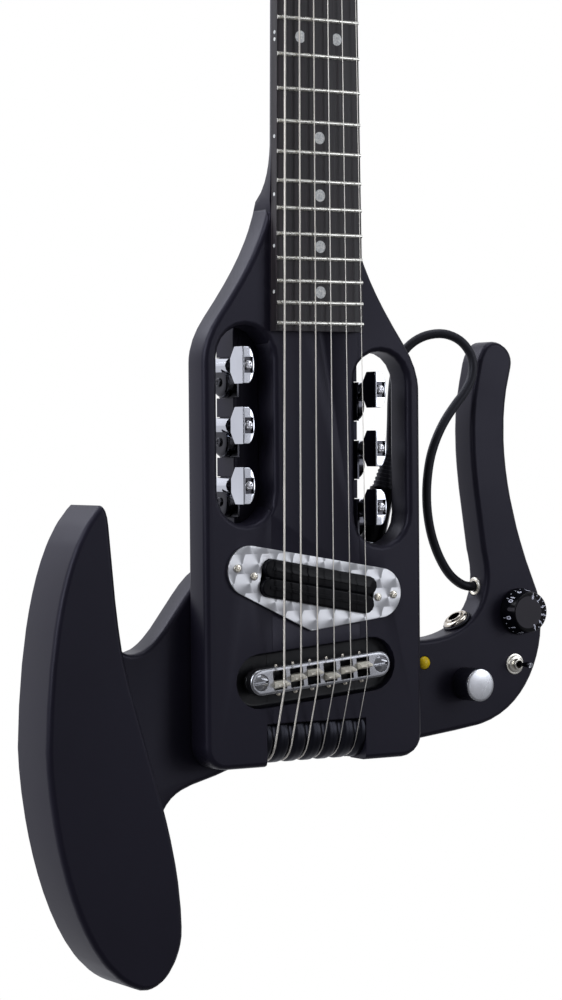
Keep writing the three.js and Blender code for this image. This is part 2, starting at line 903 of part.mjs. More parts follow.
function linkBore() {
  const profile = rodProfile(jackBarrelRadius + runningGap, -linkBoreLength, cutOverrun);
  return linkPlace(turnedAlongZ(profile, 14));
}

// Fingerboard with its frets pressed in, skinned along the neck with four rings for each fret
function boardRing(rise, height) {
  const steps = 4;
  const half = neckHalfAt(rise);
  const front = Array.from({ length: steps + 1 }, (_, i) => {
    const share = (2 * i) / steps - 1;
    return new THREE.Vector3(half * share, boardCrown * share * share - boardThickness - height, rise);
  });
  return [...front, new THREE.Vector3(half, -glueGap, rise), new THREE.Vector3(-half, -glueGap, rise)];
}

function makeFingerboard() {
  const rings = [boardRing(boardEnd, 0)];
  for (let number = fretCount; number > 0; number -= 1) {
    const rise = fretRise(number);
    rings.push(boardRing(rise - fretWidth / 2, 0));
    rings.push(boardRing(rise - fretWidth / 4, fretHeight));
    rings.push(boardRing(rise + fretWidth / 4, fretHeight));
    rings.push(boardRing(rise + fretWidth / 2, 0));
  }
  rings.push(boardRing(scaleLength - seatGap, 0));
  addPiece("fretboard", loft(rings), "darkWood");
}

// Nut and ball-end holder in one metal piece on the headless end
function makeHeadpiece() {
  const half = neckHalfAt(scaleLength);
  const start = scaleLength;
  const end = start + headpieceLength;
  const wall = end - wallThickness;
  const outline = [
    [start, glueGap],
    [end, glueGap],
    [end, wallHeight - wallChamfer],
    [wall, wallHeight],
    [wall, bedHeight],
    [start + nutThickness, bedHeight],
    [start + nutThickness, stringHeightAtNut],
    [start, stringHeightAtNut + stringRadii[0]],
  ];
  const solid = barAcross(outline, -half, half);
  const slots = numbers.map((number) => {
    const x = across(spreadAtNut, number);
    const r = stringRadii[number - 1] + runningGap;
    const back = -stringHeightAtNut + r;
    return block(x - r, -wallHeight - cutOverrun, start - cutOverrun, x + r, back, end + cutOverrun);
  });
  addPiece("headpiece", cut(solid, ...slots), "nickel");
}

function makeTrussRod() {
  const low = boardEnd + trussRodEnd;
  const high = scaleLength - trussRodEnd;
  const nutEnd = low + trussRodRadius * 4;
  const y = trussSlotDepth - trussRodRadius - glueGap;
  const rod = turnedAlongZ(rodProfile(trussRodRadius * 0.8, low, high), 8);
  const nut = turnedAlongZ(rodProfile(trussRodRadius, low, nutEnd), 6);
  const anchor = turnedAlongZ(rodProfile(trussRodRadius, high - trussRodRadius * 3, high), 8);
  addPiece("truss_rod", placed(join(rod, nut, anchor), 0, y, 0), "steel");
}

// One string, from its ball over the nut and its saddle, round its roller and up to its post
function stringRoute(number) {
  const radius = stringRadii[number - 1];
  const nutX = across(spreadAtNut, number);
  const bridgeX = across(spreadAtBridge, number);
  const rollerX = rollerPlace(number);
  const { side, rise, capture } = tunerOf(number);
  const ball = scaleLength + headpieceLength + ballLength / 2 + seatGap;
  const bend = bridgeLineAt(bridgeX) - saddleTravel - saddleLength / 2;
  const turn = grooveRadius + runningGap + radius;
  const wrap = postWaistRadius + runningGap + radius;
  const centre = new THREE.Vector2(rollerDepth, -rollerDrop);
  const toBend = new THREE.Vector2(-stringHeightAtBridge, bend).sub(centre);
  const tangent = toBend.angle() + Math.acos(turn / toBend.length());
  const points = [
    new THREE.Vector3(nutX, -stringHeightAtNut, ball),
    new THREE.Vector3(nutX, -stringHeightAtNut, scaleLength),
    new THREE.Vector3(bridgeX, -stringHeightAtBridge, bend),
  ];
  const arcSteps = 9;
  for (let i = 0; i <= arcSteps; i += 1) {
    const angle = mix(tangent, 2 * Math.PI, i / arcSteps);
    const y = centre.x + turn * Math.cos(angle);
    points.push(new THREE.Vector3(rollerX, y, centre.y + turn * Math.sin(angle)));
  }
  const stepsPerTurn = 8;
  const pitch = 2 * radius + runningGap;
  for (let i = 0; i <= wrapTurns * stepsPerTurn; i += 1) {
    const turns = i / stepsPerTurn;
    const angle = 2 * Math.PI * turns;
    const y = postDepth + wrap * Math.cos(angle);
    const z = rise - wormCentreDistance + wrap * Math.sin(angle);
    points.push(new THREE.Vector3(capture + side * pitch * turns, y, z));
  }
  return points;
}

function makeString(number) {
  const radius = stringRadii[number - 1];
  const route = stringRoute(number);
  const ball = turnedAlongZ(rodProfile(ballRadius, -ballLength / 2, ballLength / 2), 8);
  const end = placed(ball, route[0].x, route[0].y, route[0].z);
  addPiece(`string_${number}`, join(sweep(route, radius, 6), end), "nickel");
}

// Rollers on one axle
function makeRollers() {
  const half = (rollerPitch - rollerSeam) / 2;
  const profile = [
    [axleRadius + runningGap, -half],
    [rollerRadius, -half],
    [rollerRadius, -rollerShoulder],
    [grooveRadius, -rollerGroove / 2],
    [grooveRadius, rollerGroove / 2],
    [rollerRadius, rollerShoulder],
    [rollerRadius, half],
    [axleRadius + runningGap, half],
    [axleRadius + runningGap, -half],
  ];
  const roller = turnedAlongX(profile, 16);
  numbers.forEach((number) => {
    const mesh = addPiece(`roller_${number}`, roller, "glossBlack");
    mesh.position.set(rollerPlace(number), rollerDepth, -rollerDrop);
  });
  const reach = pocketHalf + axleSeat;
  addPiece("roller_axle", rodAlongX(axleRadius, -reach, reach, rollerDepth, -rollerDrop), "steel");
}

// Tuner. Its own frame has the worm's axis along Y through the origin and the post below it.
// The housing is a base plate, a boss round the worm and a lobe that covers the worm wheel
function makeHousing(side) {
  const plateInner = blockHalf + glueGap - buttonOffset;
  const plateOuter = plateInner + housingPlate;
  const wheelRadius = gearPitchRadius + gearAddendum + runningGap;
  const wheelFace = gearThickness / 2 + seatGap;
  const lobeFace = wheelFace + lobeCover;
  const lobeRadius = wheelRadius + lobeWall;
  const centre = -wormCentreDistance;
  const low = centre - lobeRadius;
  const plate = block(plateInner, housingFront, low, plateOuter, housingBack, bossRadius);
  const boss = rodAlongY(bossRadius, housingFront, housingBack, 0, 0, 12);
  const lobe = rodAlongX(lobeRadius, plateInner, lobeFace, postDepth, centre, 16);
  const rear = block(-cutOverrun * 2, -cutOverrun, low * 2, plateInner, bodyDepth * 2, -low);
  const wormRoom = rodAlongY(
    wormOuterRadius + runningGap,
    housingFront + bearingLength,
    housingBack - bearingLength,
    0,
    0,
    8,
  );
  const shaftHole = rodAlongY(
    wormShaftRadius + runningGap,
    housingFront - cutOverrun,
    housingBack + cutOverrun,
    0,
    0,
    8,
  );
  const wheelRoom = rodAlongX(wheelRadius, plateOuter, wheelFace, postDepth, centre, 12);
  const postHole = rodAlongX(
    postRadius + runningGap,
    plateInner - cutOverrun,
    lobeFace + cutOverrun,
    postDepth,
    centre,
    8,
  );
  const viewDepth = postDepth - wheelRadius * Math.SQRT1_2;
  const viewRise = centre + wheelRadius * Math.SQRT1_2;
  const view = rodAlongX(lobeViewRadius, 0, lobeFace + cutOverrun, viewDepth, viewRise, 6);
  const solid = cut(join(plate, boss, lobe), rear, wormRoom, shaftHole, wheelRoom, postHole, view);
  return side < 0 ? solid.mirror([1, 0, 0]) : solid;
}

// The worm's right-hand thread, centred on the gear
function wormThread() {
  const pitch = (2 * Math.PI * gearPitchRadius) / gearTeeth;
  const turns = 2;
  const steps = 16;
  const root = (pitch * wormToothShare) / 2;
  const tip = (pitch * wormTipShare) / 2;
  const foot = wormCoreRadius * 0.8;
  const section = [
    [foot, -root],
    [wormOuterRadius, -tip],
    [wormOuterRadius, tip],
    [foot, root],
  ];
  const rings = Array.from({ length: steps + 1 }, (_, i) => {
    const turn = mix(-turns / 2, turns / 2, i / steps);
    const angle = 2 * Math.PI * turn;
    return section.map(([radius, along]) => {
      const y = postDepth + pitch * turn + along;
      return new THREE.Vector3(radius * Math.sin(angle), y, radius * Math.cos(angle));
    });
  });
  return loft(rings);
}

// Key: D-shaped from the front, with cut corners at the back and a recess that holds its screw
function buttonKey() {
  const rimSteps = 6;
  const side = buttonThickness / 2;
  const rim = Array.from({ length: rimSteps + 1 }, (_, i) => {
    const angle = mix(-Math.PI / 2, Math.PI / 2, i / rimSteps);
    const bulge = mix(-side, side, mix(buttonFlatShare, 1, Math.cos(angle)));
    return [bulge, buttonHalfHeight * Math.sin(angle)];
  });
  const face = [[-side, -buttonHalfHeight], ...rim, [-side, buttonHalfHeight]];
  const fromSide = buttonSideShares.map(([u, v]) => [u * buttonHalfHeight, -mix(buttonFront, buttonBack, v)]);
  const mirrored = fromSide.map(([rise, height]) => [-rise, height]).reverse();
  const recess = block(
    -buttonRecessWidth / 2,
    buttonFront - cutOverrun,
    -buttonRecessHeight / 2,
    buttonRecessWidth / 2,
    buttonFront + buttonRecessDepth,
    buttonRecessHeight / 2,
  );
  const key = board(face, buttonFront, buttonBack, buttonEdge, [], 1);
  const shaped = key.intersect(barAcross([...fromSide, ...mirrored], -buttonThickness, buttonThickness));
  const screwBack = buttonFront + buttonRecessDepth * 2;
  const screw = rodAlongY(buttonScrewRadius, buttonFront + buttonRecessDepth / 3, screwBack, 0, 0, 8);
  return join(cut(shaped, recess), screw);
}

function makeButton() {
  const shaft = turned(
    [
      [0, buttonBack - buttonEdge],
      [buttonNeckRadius, buttonBack - buttonEdge],
      [buttonNeckRadius, housingFront - seatGap],
      [wormShaftRadius, housingFront - seatGap],
      [wormShaftRadius, housingFront + bearingLength + seatGap],
      [wormCoreRadius, housingFront + bearingLength + seatGap],
      [wormCoreRadius, housingBack - bearingLength - seatGap],
      [wormShaftRadius, housingBack - bearingLength - seatGap],
      [wormShaftRadius, housingBack],
      [0, housingBack],
    ],
    8,
  );
  return join(buttonKey(), shaft, wormThread());
}

// Post and worm wheel, turned from the outside end inwards
function makePost(side) {
  const pitch = (2 * Math.PI) / gearTeeth;
  const outer = gearPitchRadius + gearAddendum;
  const root = gearPitchRadius - gearDedendum;
  const corners = [
    [root, -gearToothShare / 2],
    [outer, -gearTipShare / 2],
    [outer, gearTipShare / 2],
    [root, gearToothShare / 2],
  ];
  const outline = [];
  for (let tooth = 0; tooth < gearTeeth; tooth += 1) {
    corners.forEach(([radius, share]) => {
      const angle = pitch * (tooth + share);
      outline.push([radius * Math.cos(angle), radius * Math.sin(angle)]);
    });
  }
  const gear = barAcross(outline, -gearThickness / 2, gearThickness / 2);
  const waistEnd = postTip + postStep + captureWidth;
  const shaft = turnedAlongX(
    [
      [0, -buttonOffset + postTip],
      [postWaistRadius, -buttonOffset + postTip],
      [postWaistRadius, -buttonOffset + waistEnd],
      [postRadius, -buttonOffset + waistEnd + postStep],
      [postRadius, 0],
      [postScrewRadius, 0],
      [postScrewRadius, gearThickness / 2 + postScrewHeight],
      [0, gearThickness / 2 + postScrewHeight],
    ],
    10,
  );
  const solid = join(gear, shaft);
  return side < 0 ? solid.mirror([1, 0, 0]) : solid;
}

function makeTuners() {
  const button = makeButton();
  numbers.forEach((number) => {
    const { side, rise } = tunerOf(number);
    const x = side * buttonOffset;
    const tuner = new THREE.Group();
    tuner.position.set(x, 0, rise);
    instrument.add(tuner);
    addPiece(`tuner_housing_${number}`, makeHousing(side), "chrome", tuner);
    addPiece(`tuner_button_${number}`, button, "chrome", tuner);
    const post = addPiece(`tuner_post_${number}`, makePost(side), "brass", tuner);
    post.position.set(0, postDepth, -wormCentreDistance);
  });
}

// Pickup and its swirled plate, tilted in the plane of the body
function pickupRing() {
  const tip = [ringEnd * ringPointShare, -ringPoint + ringTipRadius];
  const fall = (side) => {
    const slope = Math.atan2(ringPoint - ringTipRadius, Math.abs(side * ringEnd - tip[0]));
    return THREE.MathUtils.radToDeg(slope - (ringRadius - ringTipRadius) / ringEnd);
  };
  const outline = [
    ...arc(ringEnd, 0, ringRadius, fall(1) - 90, 90, 8),
    ...arc(-ringEnd, 0, ringRadius, 90, 270 - fall(-1), 8),
    ...arc(tip[0], tip[1], ringTipRadius, -90 - fall(-1), -90 + fall(1), 3),
  ];
  const gap = pickupWidth / 2 + seatGap;
  const corner = gap / 2;
  const inner = pickupLength / 2 + seatGap - corner;
  const hole = [
    ...arc(inner, corner, corner, 0, 90, 3),
    ...arc(-inner, corner, corner, 90, 180, 3),
    ...arc(-inner, -corner, corner, 180, 270, 3),
    ...arc(inner, -corner, corner, 270, 360, 3),
  ];
  return board(outline, -ringThickness - glueGap, -glueGap, 0, [hole]);
}

// One coil's bobbin with its blade
function pickupBobbin(side) {
  const coil = pickupWidth / 4;
  const half = pickupLength / 2 - coil;
  const body = placed(board(pill(half, coil, 6), -pickupProud, 0, bobbinEdge), 0, 0, side * coil);
  const bladeFront = -pickupProud - bladeProud;
  const low = side * coil - bladeWidth / 2;
  return join(body, block(-half, bladeFront, low, half, 0, low + bladeWidth));
}

function makePickup() {
  addPiece("pickup_plate", pickupPlace(pickupRing()), "swirledAluminium");
  const coil = pickupWidth / 4;
  const baseHalf = pickupLength / 2 - coil / 2;
  const baseSide = pickupWidth / 2 - coil / 4;
  const base = block(-baseHalf, -pickupProud / 2, -baseSide, baseHalf, pickupDepth, baseSide);
  const earHalf = (pickupLength + earLength) / 2;
  const earSide = pickupWidth / 4;
  const ears = block(-earHalf, earThickness, -earSide, earHalf, earThickness * 2, earSide);
  const pickup = join(base, pickupBobbin(-1), pickupBobbin(1), ears);
  addPiece("pickup", pickupPlace(pickup), "glossBlack");
}

// Bridge: a rail with six saddle slots on two slotted height posts
function makeBridge() {
  const radius = bridgeWidth / 2;
  const front = -bridgeTopProud;
  const back = bridgeThickness - bridgeTopProud;
  const rail = board(pill(bridgeLength / 2 - radius, radius, 8), front, back, bridgeEdge);
  const slots = numbers.map((number) => {
    const x = across(spreadAtBridge, number) / Math.cos(bridgeTurn);
    const half = saddleSlotWidth / 2;
    const long = saddleSlotLength / 2;
    return block(x - half, front - cutOverrun, -long, x + half, back + cutOverrun, long);
  });
  const holes = [-1, 1].map((side) => {
    const place = (side * bridgeSpan) / 2;
    return rodAlongY(bridgePostHeadRadius + runningGap, front - cutOverrun, back + cutOverrun, place, 0);
  });
  const bridge = new THREE.Group();
  bridge.position.set(0, 0, -bridgeDrop);
  bridge.rotation.y = bridgeTurn;
  instrument.add(bridge);
  addPiece("bridge", cut(rail, ...slots, ...holes), "chrome", bridge);
  const collarFront = back + seatGap;
  const post = cut(
    turned(
      [
        [0, front],
        [bridgePostHeadRadius, front],
        [bridgePostHeadRadius, collarFront],
        [bridgeCollarRadius, collarFront],
        [bridgeCollarRadius, collarFront + bridgeCollarThickness],
        [bridgeInsertRadius, collarFront + bridgeCollarThickness],
        [bridgeInsertRadius, bridgePostLength],
        [0, bridgePostLength],
      ],
      16,
    ),
    block(
      -bridgePostHeadRadius - cutOverrun,
      front - cutOverrun,
      -slotWidth / 2,
      bridgePostHeadRadius + cutOverrun,
      front + slotDepth,
      slotWidth / 2,
    ),
  );
  ["bass", "treble"].forEach((name, i) => {
    const mesh = addPiece(`bridge_post_${name}`, post, "chrome", bridge);
    mesh.position.x = (i - 0.5) * bridgeSpan;
  });
  numbers.forEach((number) => {
    const mesh = addPiece(`saddle_${number}`, saddleSolid(number), "nickel", bridge);
    mesh.position.x = across(spreadAtBridge, number) / Math.cos(bridgeTurn);
    mesh.position.z = saddleTravel * saddleShares[number - 1];
  });
}

function saddleSolid(number) {
  const radius = stringRadii[number - 1];
  const crest = stringHeightAtBridge + radius;
  const half = saddleLength / 2;
  const notchFloor = -(stringHeightAtBridge - radius - runningGap);
  const notchHalf = radius + notchSide;
  const outline = [
    [-half, 0],
    [half, 0],
    [half, bridgeTopProud],
    [half / 4, crest],
    [-half / 4, crest],
    [-half, bridgeTopProud],
  ];
  const body = barAcross(outline, -saddleWidth / 2, saddleWidth / 2);
  const notchFront = -crest - cutOverrun;
  return body.subtract(block(-notchHalf, notchFront, -saddleLength, notchHalf, notchFloor, saddleLength));
}

// Arm rest: a tall crescent of full depth, with a stem that plugs into the bass side of the spine.
// Shares of the reach from the body's side and of the crescent's height from its foot
const crescentShares = [
  [0.656, 1],
  [0.945, 0.906],
  [0.992, 0.633],
  [1, 0.505],
  [0.993, 0.367],
  [0.847, 0.051],
  [0.424, 0.002],
  [0.257, -0.012],
  [0.146, 0.075],
  [0.157, 0.126],
  [0.166, 0.327],
  [0.414, 0.51],
  [0.523, 0.704],
  [0.562, 0.787],
  [0.579, 0.873],
  [0.6, 0.957],
  [0.605, 0.98],
  [0.621, 1.001],
  [0.656, 1],
];

// Shares of the reach from the body's side and of the stem's rise from its foot to its top
const stemTopShares = [
  [0.567, 0.7005],
  [0.5, 0.6096],
  [0.457, 0.5874],
  [0.421, 0.5719],
  [0.215, 0.4742],
  [0.043, 0.8398],
  [-0.118, 0.9204],
];
const stemFootShares = [
  [-0.257, -0.0181],
  [-0.124, -0.0624],
  [0.074, -0.0624],
  [0.153, -0.1756],
  [0.19, -0.2398],
  [0.215, -0.2842],
  [0.28, -0.3285],
];
const stemInnerShares = [
  [0.8, -0.2588],
  [0.8, 0.6253],
];

function makeArmRest() {
  const outwards = (u) => -(bodyHalf + u * armReach);
  const crescentAt = ([u, v]) => [outwards(u), v * armHeight - armFoot];
  const stemAt = ([u, v]) => [outwards(u), mix(stemFoot, stemTop, v)];
  const root = -(blockHalf + seatGap);
  const crescent = board(bezierChain(crescentShares.map(crescentAt)), 0, bodyDepth, restEdgeRadius);
  const stemOutline = [
    ...bezierChain(stemTopShares.map(stemAt)),
    [root, stemTop],
    [root, stemFoot],
    ...bezierChain(stemFootShares.map(stemAt)),
    ...stemInnerShares.map(stemAt),
  ];
  const stem = board(stemOutline, rearFront, bodyDepth, restEdgeRadius - seatGap);
  addPiece("arm_rest", join(crescent, stem, ...pegs(-1, armPegRises)), "satinBlack");
}

function pegs(side, rises) {
  return rises.map((rise) => {
    const ends = [side * (blockHalf - pegLength), side * (blockHalf + pegLength)].sort((a, b) => a - b);
    return rodAlongX(pegRadius, ends[0], ends[1], pegDepth, rise);
  });
}

// Lap rest: a hooked arm that holds the controls, open at the back under its cover.
// Shares of the reach from the body's side and of the rest's rise above the saddle line
const lapShares = [
  [0.115, 0.045],
  [0.429, 0.038],
  [0.671, 0.136],
  [0.567, 0.324],
  [0.521, 0.503],
  [0.449, 0.687],
  [0.52, 0.867],
  [0.541, 0.932],
  [0.564, 1],
  [0.659, 1],
  [0.744, 1],
  [0.805, 0.959],
  [0.784, 0.915],
  [0.651, 0.67],
  [0.792, 0.401],
  [0.969, 0.185],
  [1.061, 0.024],
  [0.908, -0.208],
  [0.533, -0.241],
  [0.395, -0.253],
  [0.247, -0.262],
  [0.111, -0.271],
];
const cavityShares = [
  [0.09, 0.008],
  [0.395, 0.006],
  [0.62, 0.118],
  [0.66, 0.25],
  [0.83, 0.27],
  [0.925, 0.13],
  [0.93, 0],
  [0.83, -0.115],
  [0.6, -0.188],
  [0.3, -0.215],
  [0.09, -0.222],
];

function lapPoint([u, v]) {
  return [bodyHalf + u * lapReach, v * lapRise];
}

// The cavity's outline, rounded by a closed curve and grown or shrunk by a distance
function cavityOutline(grow) {
  const points = cavityShares.map(lapPoint).map(([x, z]) => new THREE.Vector3(x, z, 0));
  const curve = new THREE.CatmullRomCurve3(points, true, "catmullrom", 0.35);
  const ring = curve.getPoints(cavityShares.length * 3).slice(0, -1);
  const turn = THREE.ShapeUtils.area(ring) > 0 ? 1 : -1;
  return ring.map((point, i) => {
    const before = ring[(i + ring.length - 1) % ring.length];
    const along = ring[(i + 1) % ring.length].clone().sub(before).normalize();
    return [point.x + turn * grow * along.y, point.y - turn * grow * along.x];
  });
}

// Places of the controls on the front face, and of the jack and bush on the inner edge
const volumePlace = lapPoint(volumeShares);
const mixerPlace = lapPoint(mixerShares);
const togglePlace = lapPoint(toggleShares);
const indicatorPlace = lapPoint(indicatorShares);
const jackPlace = lapPoint(jackShares);
const bushPlace = lapPoint(bushShares);
const jackTurn = radians(jackTilt);

function controlHoles() {
  const [front, back] = [frontFace - cutOverrun, cavityFront + cutOverrun];
  const through = (radius, [x, z]) => rodAlongY(radius + runningGap, front, back, x, z);
  return [
    through(potBushRadius, volumePlace),
    through(potBushRadius, mixerPlace),
    through(toggleBushRadius, togglePlace),
    through(indicatorRadius, indicatorPlace),
  ];
}

function jackPlaceOf(solid) {
  return placed(solid, jackPlace[0], pegDepth, jackPlace[1], jackTurn);
}

function bushPlaceOf(solid) {
  return placed(solid, bushPlace[0], bushDepth, bushPlace[1]);
}

function makeLapRest() {
  const root = blockHalf + seatGap;
  const outline = [
    [root, lapRootRises[0]],
    ...bezierChain(lapShares.map(lapPoint)),
    [root, lapRootRises[1]],
  ];
  const jackSeat = jackWasherRadius + seatGap;
  const jackHole = turnedAlongZ(
    [
      [0, -jackLength],
      [jackBarrelRadius + runningGap, -jackLength],
      [jackBarrelRadius + runningGap, 0],
      [jackSeat, 0],
      [jackSeat, jackSeat],
      [0, jackSeat],
    ],
    14,
  );
  const bushSeat = bushRadius + seatGap;
  const bushHole = turnedAlongX(
    [
      [0, -bushSeat],
      [bushSeat, -bushSeat],
      [bushSeat, 0],
      [bushBarrelRadius + runningGap, 0],
      [bushBarrelRadius + runningGap, bushLength],
      [0, bushLength],
    ],
    14,
  );
  const solid = cut(
    join(board(outline, rearFront, bodyDepth, restEdgeRadius - seatGap), ...pegs(1, lapPegRises)),
    board(cavityOutline(0), cavityFront, bodyDepth + cutOverrun),
    board(cavityOutline(coverLip), coverFront - seatGap, bodyDepth + cutOverrun),
    ...controlHoles(),
    jackPlaceOf(jackHole),
    bushPlaceOf(bushHole),
  );
  addPiece("lap_rest", solid, "satinBlack");
  addPiece("lap_rest_cover", board(cavityOutline(coverLip - seatGap), coverFront, bodyDepth), "rubber");
}

// A potentiometer behind the front wall: its can with its bush, and the bore for the knob's shaft
function potentiometer([x, z]) {
  const bushBack = cavityFront + potHeight;
  const boreBack = cavityFront + potHeight / 2;
  const can = rodAlongY(potRadius, cavityFront + seatGap, pcbBack, x, z);
  const bush = rodAlongY(potBushRadius, frontFace - bushStandProud, bushBack, x, z, 12);
  const bore = rodAlongY(shaftRadius + runningGap, frontFace - cutOverrun, boreBack, x, z, 12);
  return { can: join(can, bush), bore };
}

// The toggle switch's body, bush and nut
function toggleSwitch([x, z]) {
  const body = block(
    x - toggleBodyWidth / 2,
    cavityFront + seatGap,
    z - toggleBodyHeight / 2,
    x + toggleBodyWidth / 2,
    pcbBack,
    z + toggleBodyHeight / 2,
  );
  const nutBack = frontFace - glueGap;
  const bush = rodAlongY(toggleBushRadius, frontFace - toggleProud, pcbFront, x, z, 12);
  const nut = rodAlongY(toggleNutRadius, nutBack - toggleNutThickness, nutBack, x, z, 12);
  return join(body, bush, nut);
}

// The bore in which the toggle's lever swings
function toggleBore([x, z]) {
  const mouth = toggleBushRadius - slotWidth / 2;
  const floor = frontFace + togglePivotInset + leverRadius * 2;
  const bore = turned(
    [
      [0, frontFace - toggleProud - cutOverrun],
      [mouth, frontFace - toggleProud - cutOverrun],
      [mouth, frontFace - toggleProud + slotWidth],
      [leverRadius + runningGap * 2, floor],
      [0, floor],
    ],
    12,
  );
  return placed(bore, x, 0, z);
}

function indicatorLamp([x, z]) {
  const lamp = turned(
    [
      [0, frontFace - indicatorRadius * 0.6],
      [indicatorRadius * 0.5, frontFace - indicatorRadius * 0.5],
      [indicatorRadius * 0.85, frontFace - indicatorRadius * 0.25],
      [indicatorRadius, frontFace + seatGap],
      [indicatorRadius, pcbBack],
      [0, pcbBack],
    ],
    12,
  );
  return placed(lamp, x, 0, z);
}

// Room round the barrels of the jack and the bush, and beyond the jack's end for its plug
function barrelRooms() {
  const jackRoom = rodProfile(jackBarrelRadius + runningGap * 3, -jackLength * 2, 0);
  const bushRoom = rodProfile(bushBarrelRadius + runningGap * 3, 0, bushLength + cutOverrun);
  return [jackPlaceOf(turnedAlongZ(jackRoom, 12)), bushPlaceOf(turnedAlongX(bushRoom, 12))];
}

// Circuit board with both pots, the coin cell, the toggle switch and the indicator soldered to it
function makeControls() {
  const pcb = board(cavityOutline(-pcbInset), pcbFront, pcbBack);
  const pots = [potentiometer(volumePlace), potentiometer(mixerPlace)];
  const coinX = mix(volumePlace[0], mixerPlace[0], 0.5);
  const coin = rodAlongY(coinRadius, pcbFront, pcbBack + coinThickness, coinX, coinRiseShare * lapRise);
  const cans = pots.map((pot) => pot.can);
  const bores = pots.map((pot) => pot.bore);
  const filled = join(pcb, ...cans, coin, toggleSwitch(togglePlace), indicatorLamp(indicatorPlace));
  const solid = cut(filled, ...bores, toggleBore(togglePlace), ...barrelRooms());
  addPiece("control_board", solid, "circuit");
  makeKnobs();
  makeToggleLever();
}

// A knob and the shaft that turns with it
function knobOf(skirt, cap, height, place, skirtSteps) {
  const back = -bushStandProud - seatGap;
  const profile = [
    [0, shaftEnd],
    [shaftRadius, shaftEnd],
    [shaftRadius, back],
    [skirt, back],
    ...skirtSteps.map(([radius, up]) => [radius, back - up]),
    [cap, back - height + knobEdge],
    [cap - knobEdge, back - height],
    [0, back - height],
  ];
  return placed(turned(profile, 24), place[0], frontFace, place[1]);
}

function makeKnobs() {
  const volumeSteps = [
    [volumeKnobRadius, volumeRim],
    [volumeCapRadius, skirtHeight],
  ];
  const volumeCap = volumeCapRadius - volumeCapTaper;
  const volume = knobOf(volumeKnobRadius, volumeCap, volumeKnobHeight, volumePlace, volumeSteps);
  addPiece("volume_knob", volume, "glossBlack");
  const mixerSteps = [[mixerKnobRadius, mixerKnobHeight / 2]];
  const mixerCap = mixerKnobRadius - mixerKnobTaper;
  const mixer = knobOf(mixerKnobRadius, mixerCap, mixerKnobHeight, mixerPlace, mixerSteps);
  addPiece("mixer_knob", mixer, "glossBlack");
}

function makeToggleLever() {
  const tip = leverRadius * 1.3;
  const lever = turned(
    [
      [0, leverRadius],
      [leverRadius, leverRadius / 2],
      [leverRadius * 0.8, -leverLength / 2],
      [tip, -leverLength + tip],
      [tip * 0.7, -leverLength],
      [0, -leverLength],
    ],
    10,
  );
  const mesh = addPiece("toggle_lever", lever, "chrome");
  mesh.position.set(togglePlace[0], frontFace + togglePivotInset, togglePlace[1]);
  mesh.rotation.z = radians(leverTilt);
}

function makeJackAndBush() {
  const jack = turnedAlongZ(
    [
      [jackBoreRadius, jackNutThickness + jackWasherThickness],
      [jackNutRadius - jackChamfer, jackNutThickness + jackWasherThickness],
      [jackNutRadius, jackNutThickness + jackWasherThickness - jackEdge],
      [jackNutRadius, jackWasherThickness],
      [jackWasherRadius, jackWasherThickness],
      [jackWasherRadius, seatGap],
      [jackBarrelRadius, seatGap],
      [jackBarrelRadius, -jackLength + jackChamfer],
      [jackBoreRadius, -jackLength + jackChamfer],
      [jackBoreRadius, jackNutThickness + jackWasherThickness],
    ],
    14,
  );
  addPiece("output_jack", jackPlaceOf(jack), "nickel");
  const bush = turnedAlongX(
    [
      [cableRadius + runningGap, -bushFlange - seatGap],
      [bushRadius - bushEdge, -bushFlange - seatGap],
      [bushRadius, -seatGap - bushFlange / 2],
      [bushRadius, -seatGap],
      [bushBarrelRadius, -seatGap],
      [bushBarrelRadius, bushLength - bushEdge],
      [cableRadius + runningGap, bushLength - bushEdge],
      [cableRadius + runningGap, -bushFlange - seatGap],
    ],
    14,
  );
  addPiece("cable_bush", bushPlaceOf(bush), "nickel");
}

function makeLinkJackAndPlug() {
  const nutTop = seatGap + jackNutThickness;
  const jack = turnedAlongZ(
    [
      [jackBoreRadius, nutTop],
      [jackNutRadius, nutTop],
      [jackNutRadius, seatGap],
      [jackBarrelRadius, seatGap],
      [jackBarrelRadius, -linkBoreLength + jackChamfer],
      [jackBoreRadius, -linkBoreLength + jackChamfer],
      [jackBoreRadius, nutTop],
    ],
    14,
  );
  addPiece("link_jack", linkPlace(jack), "chrome");
  const start = nutTop + seatGap;
  const end = start + plugLength;
  const groove = reliefRib / 2;
  const relief = [];
  for (let rib = 0; rib < reliefRibs; rib += 1) {
    const share = rib / reliefRibs;
    const radius = mix(plugRadius * 0.85, cableRadius + groove, share);
    const at = end + reliefLength * share;
    const step = reliefLength / reliefRibs;
    relief.push([radius, at], [radius, at + step / 2], [radius - groove, at + step / 2]);
  }
  const plug = turnedAlongZ(
    [
      [0, start - plugTipLength],
      [plugTipRadius * 0.5, start - plugTipLength],
      [plugTipRadius, start - plugTipLength + plugTipRadius],
      [plugTipRadius, start],
      [plugRadius - plugEdge, start],
      [plugRadius, start + plugEdge],
      [plugRadius, end],
      ...relief,
      [cableRadius, end + reliefLength],
      [0, end + reliefLength],
    ],
    12,
  );
  addPiece("cable_plug", linkPlace(plug), "rubber");
}

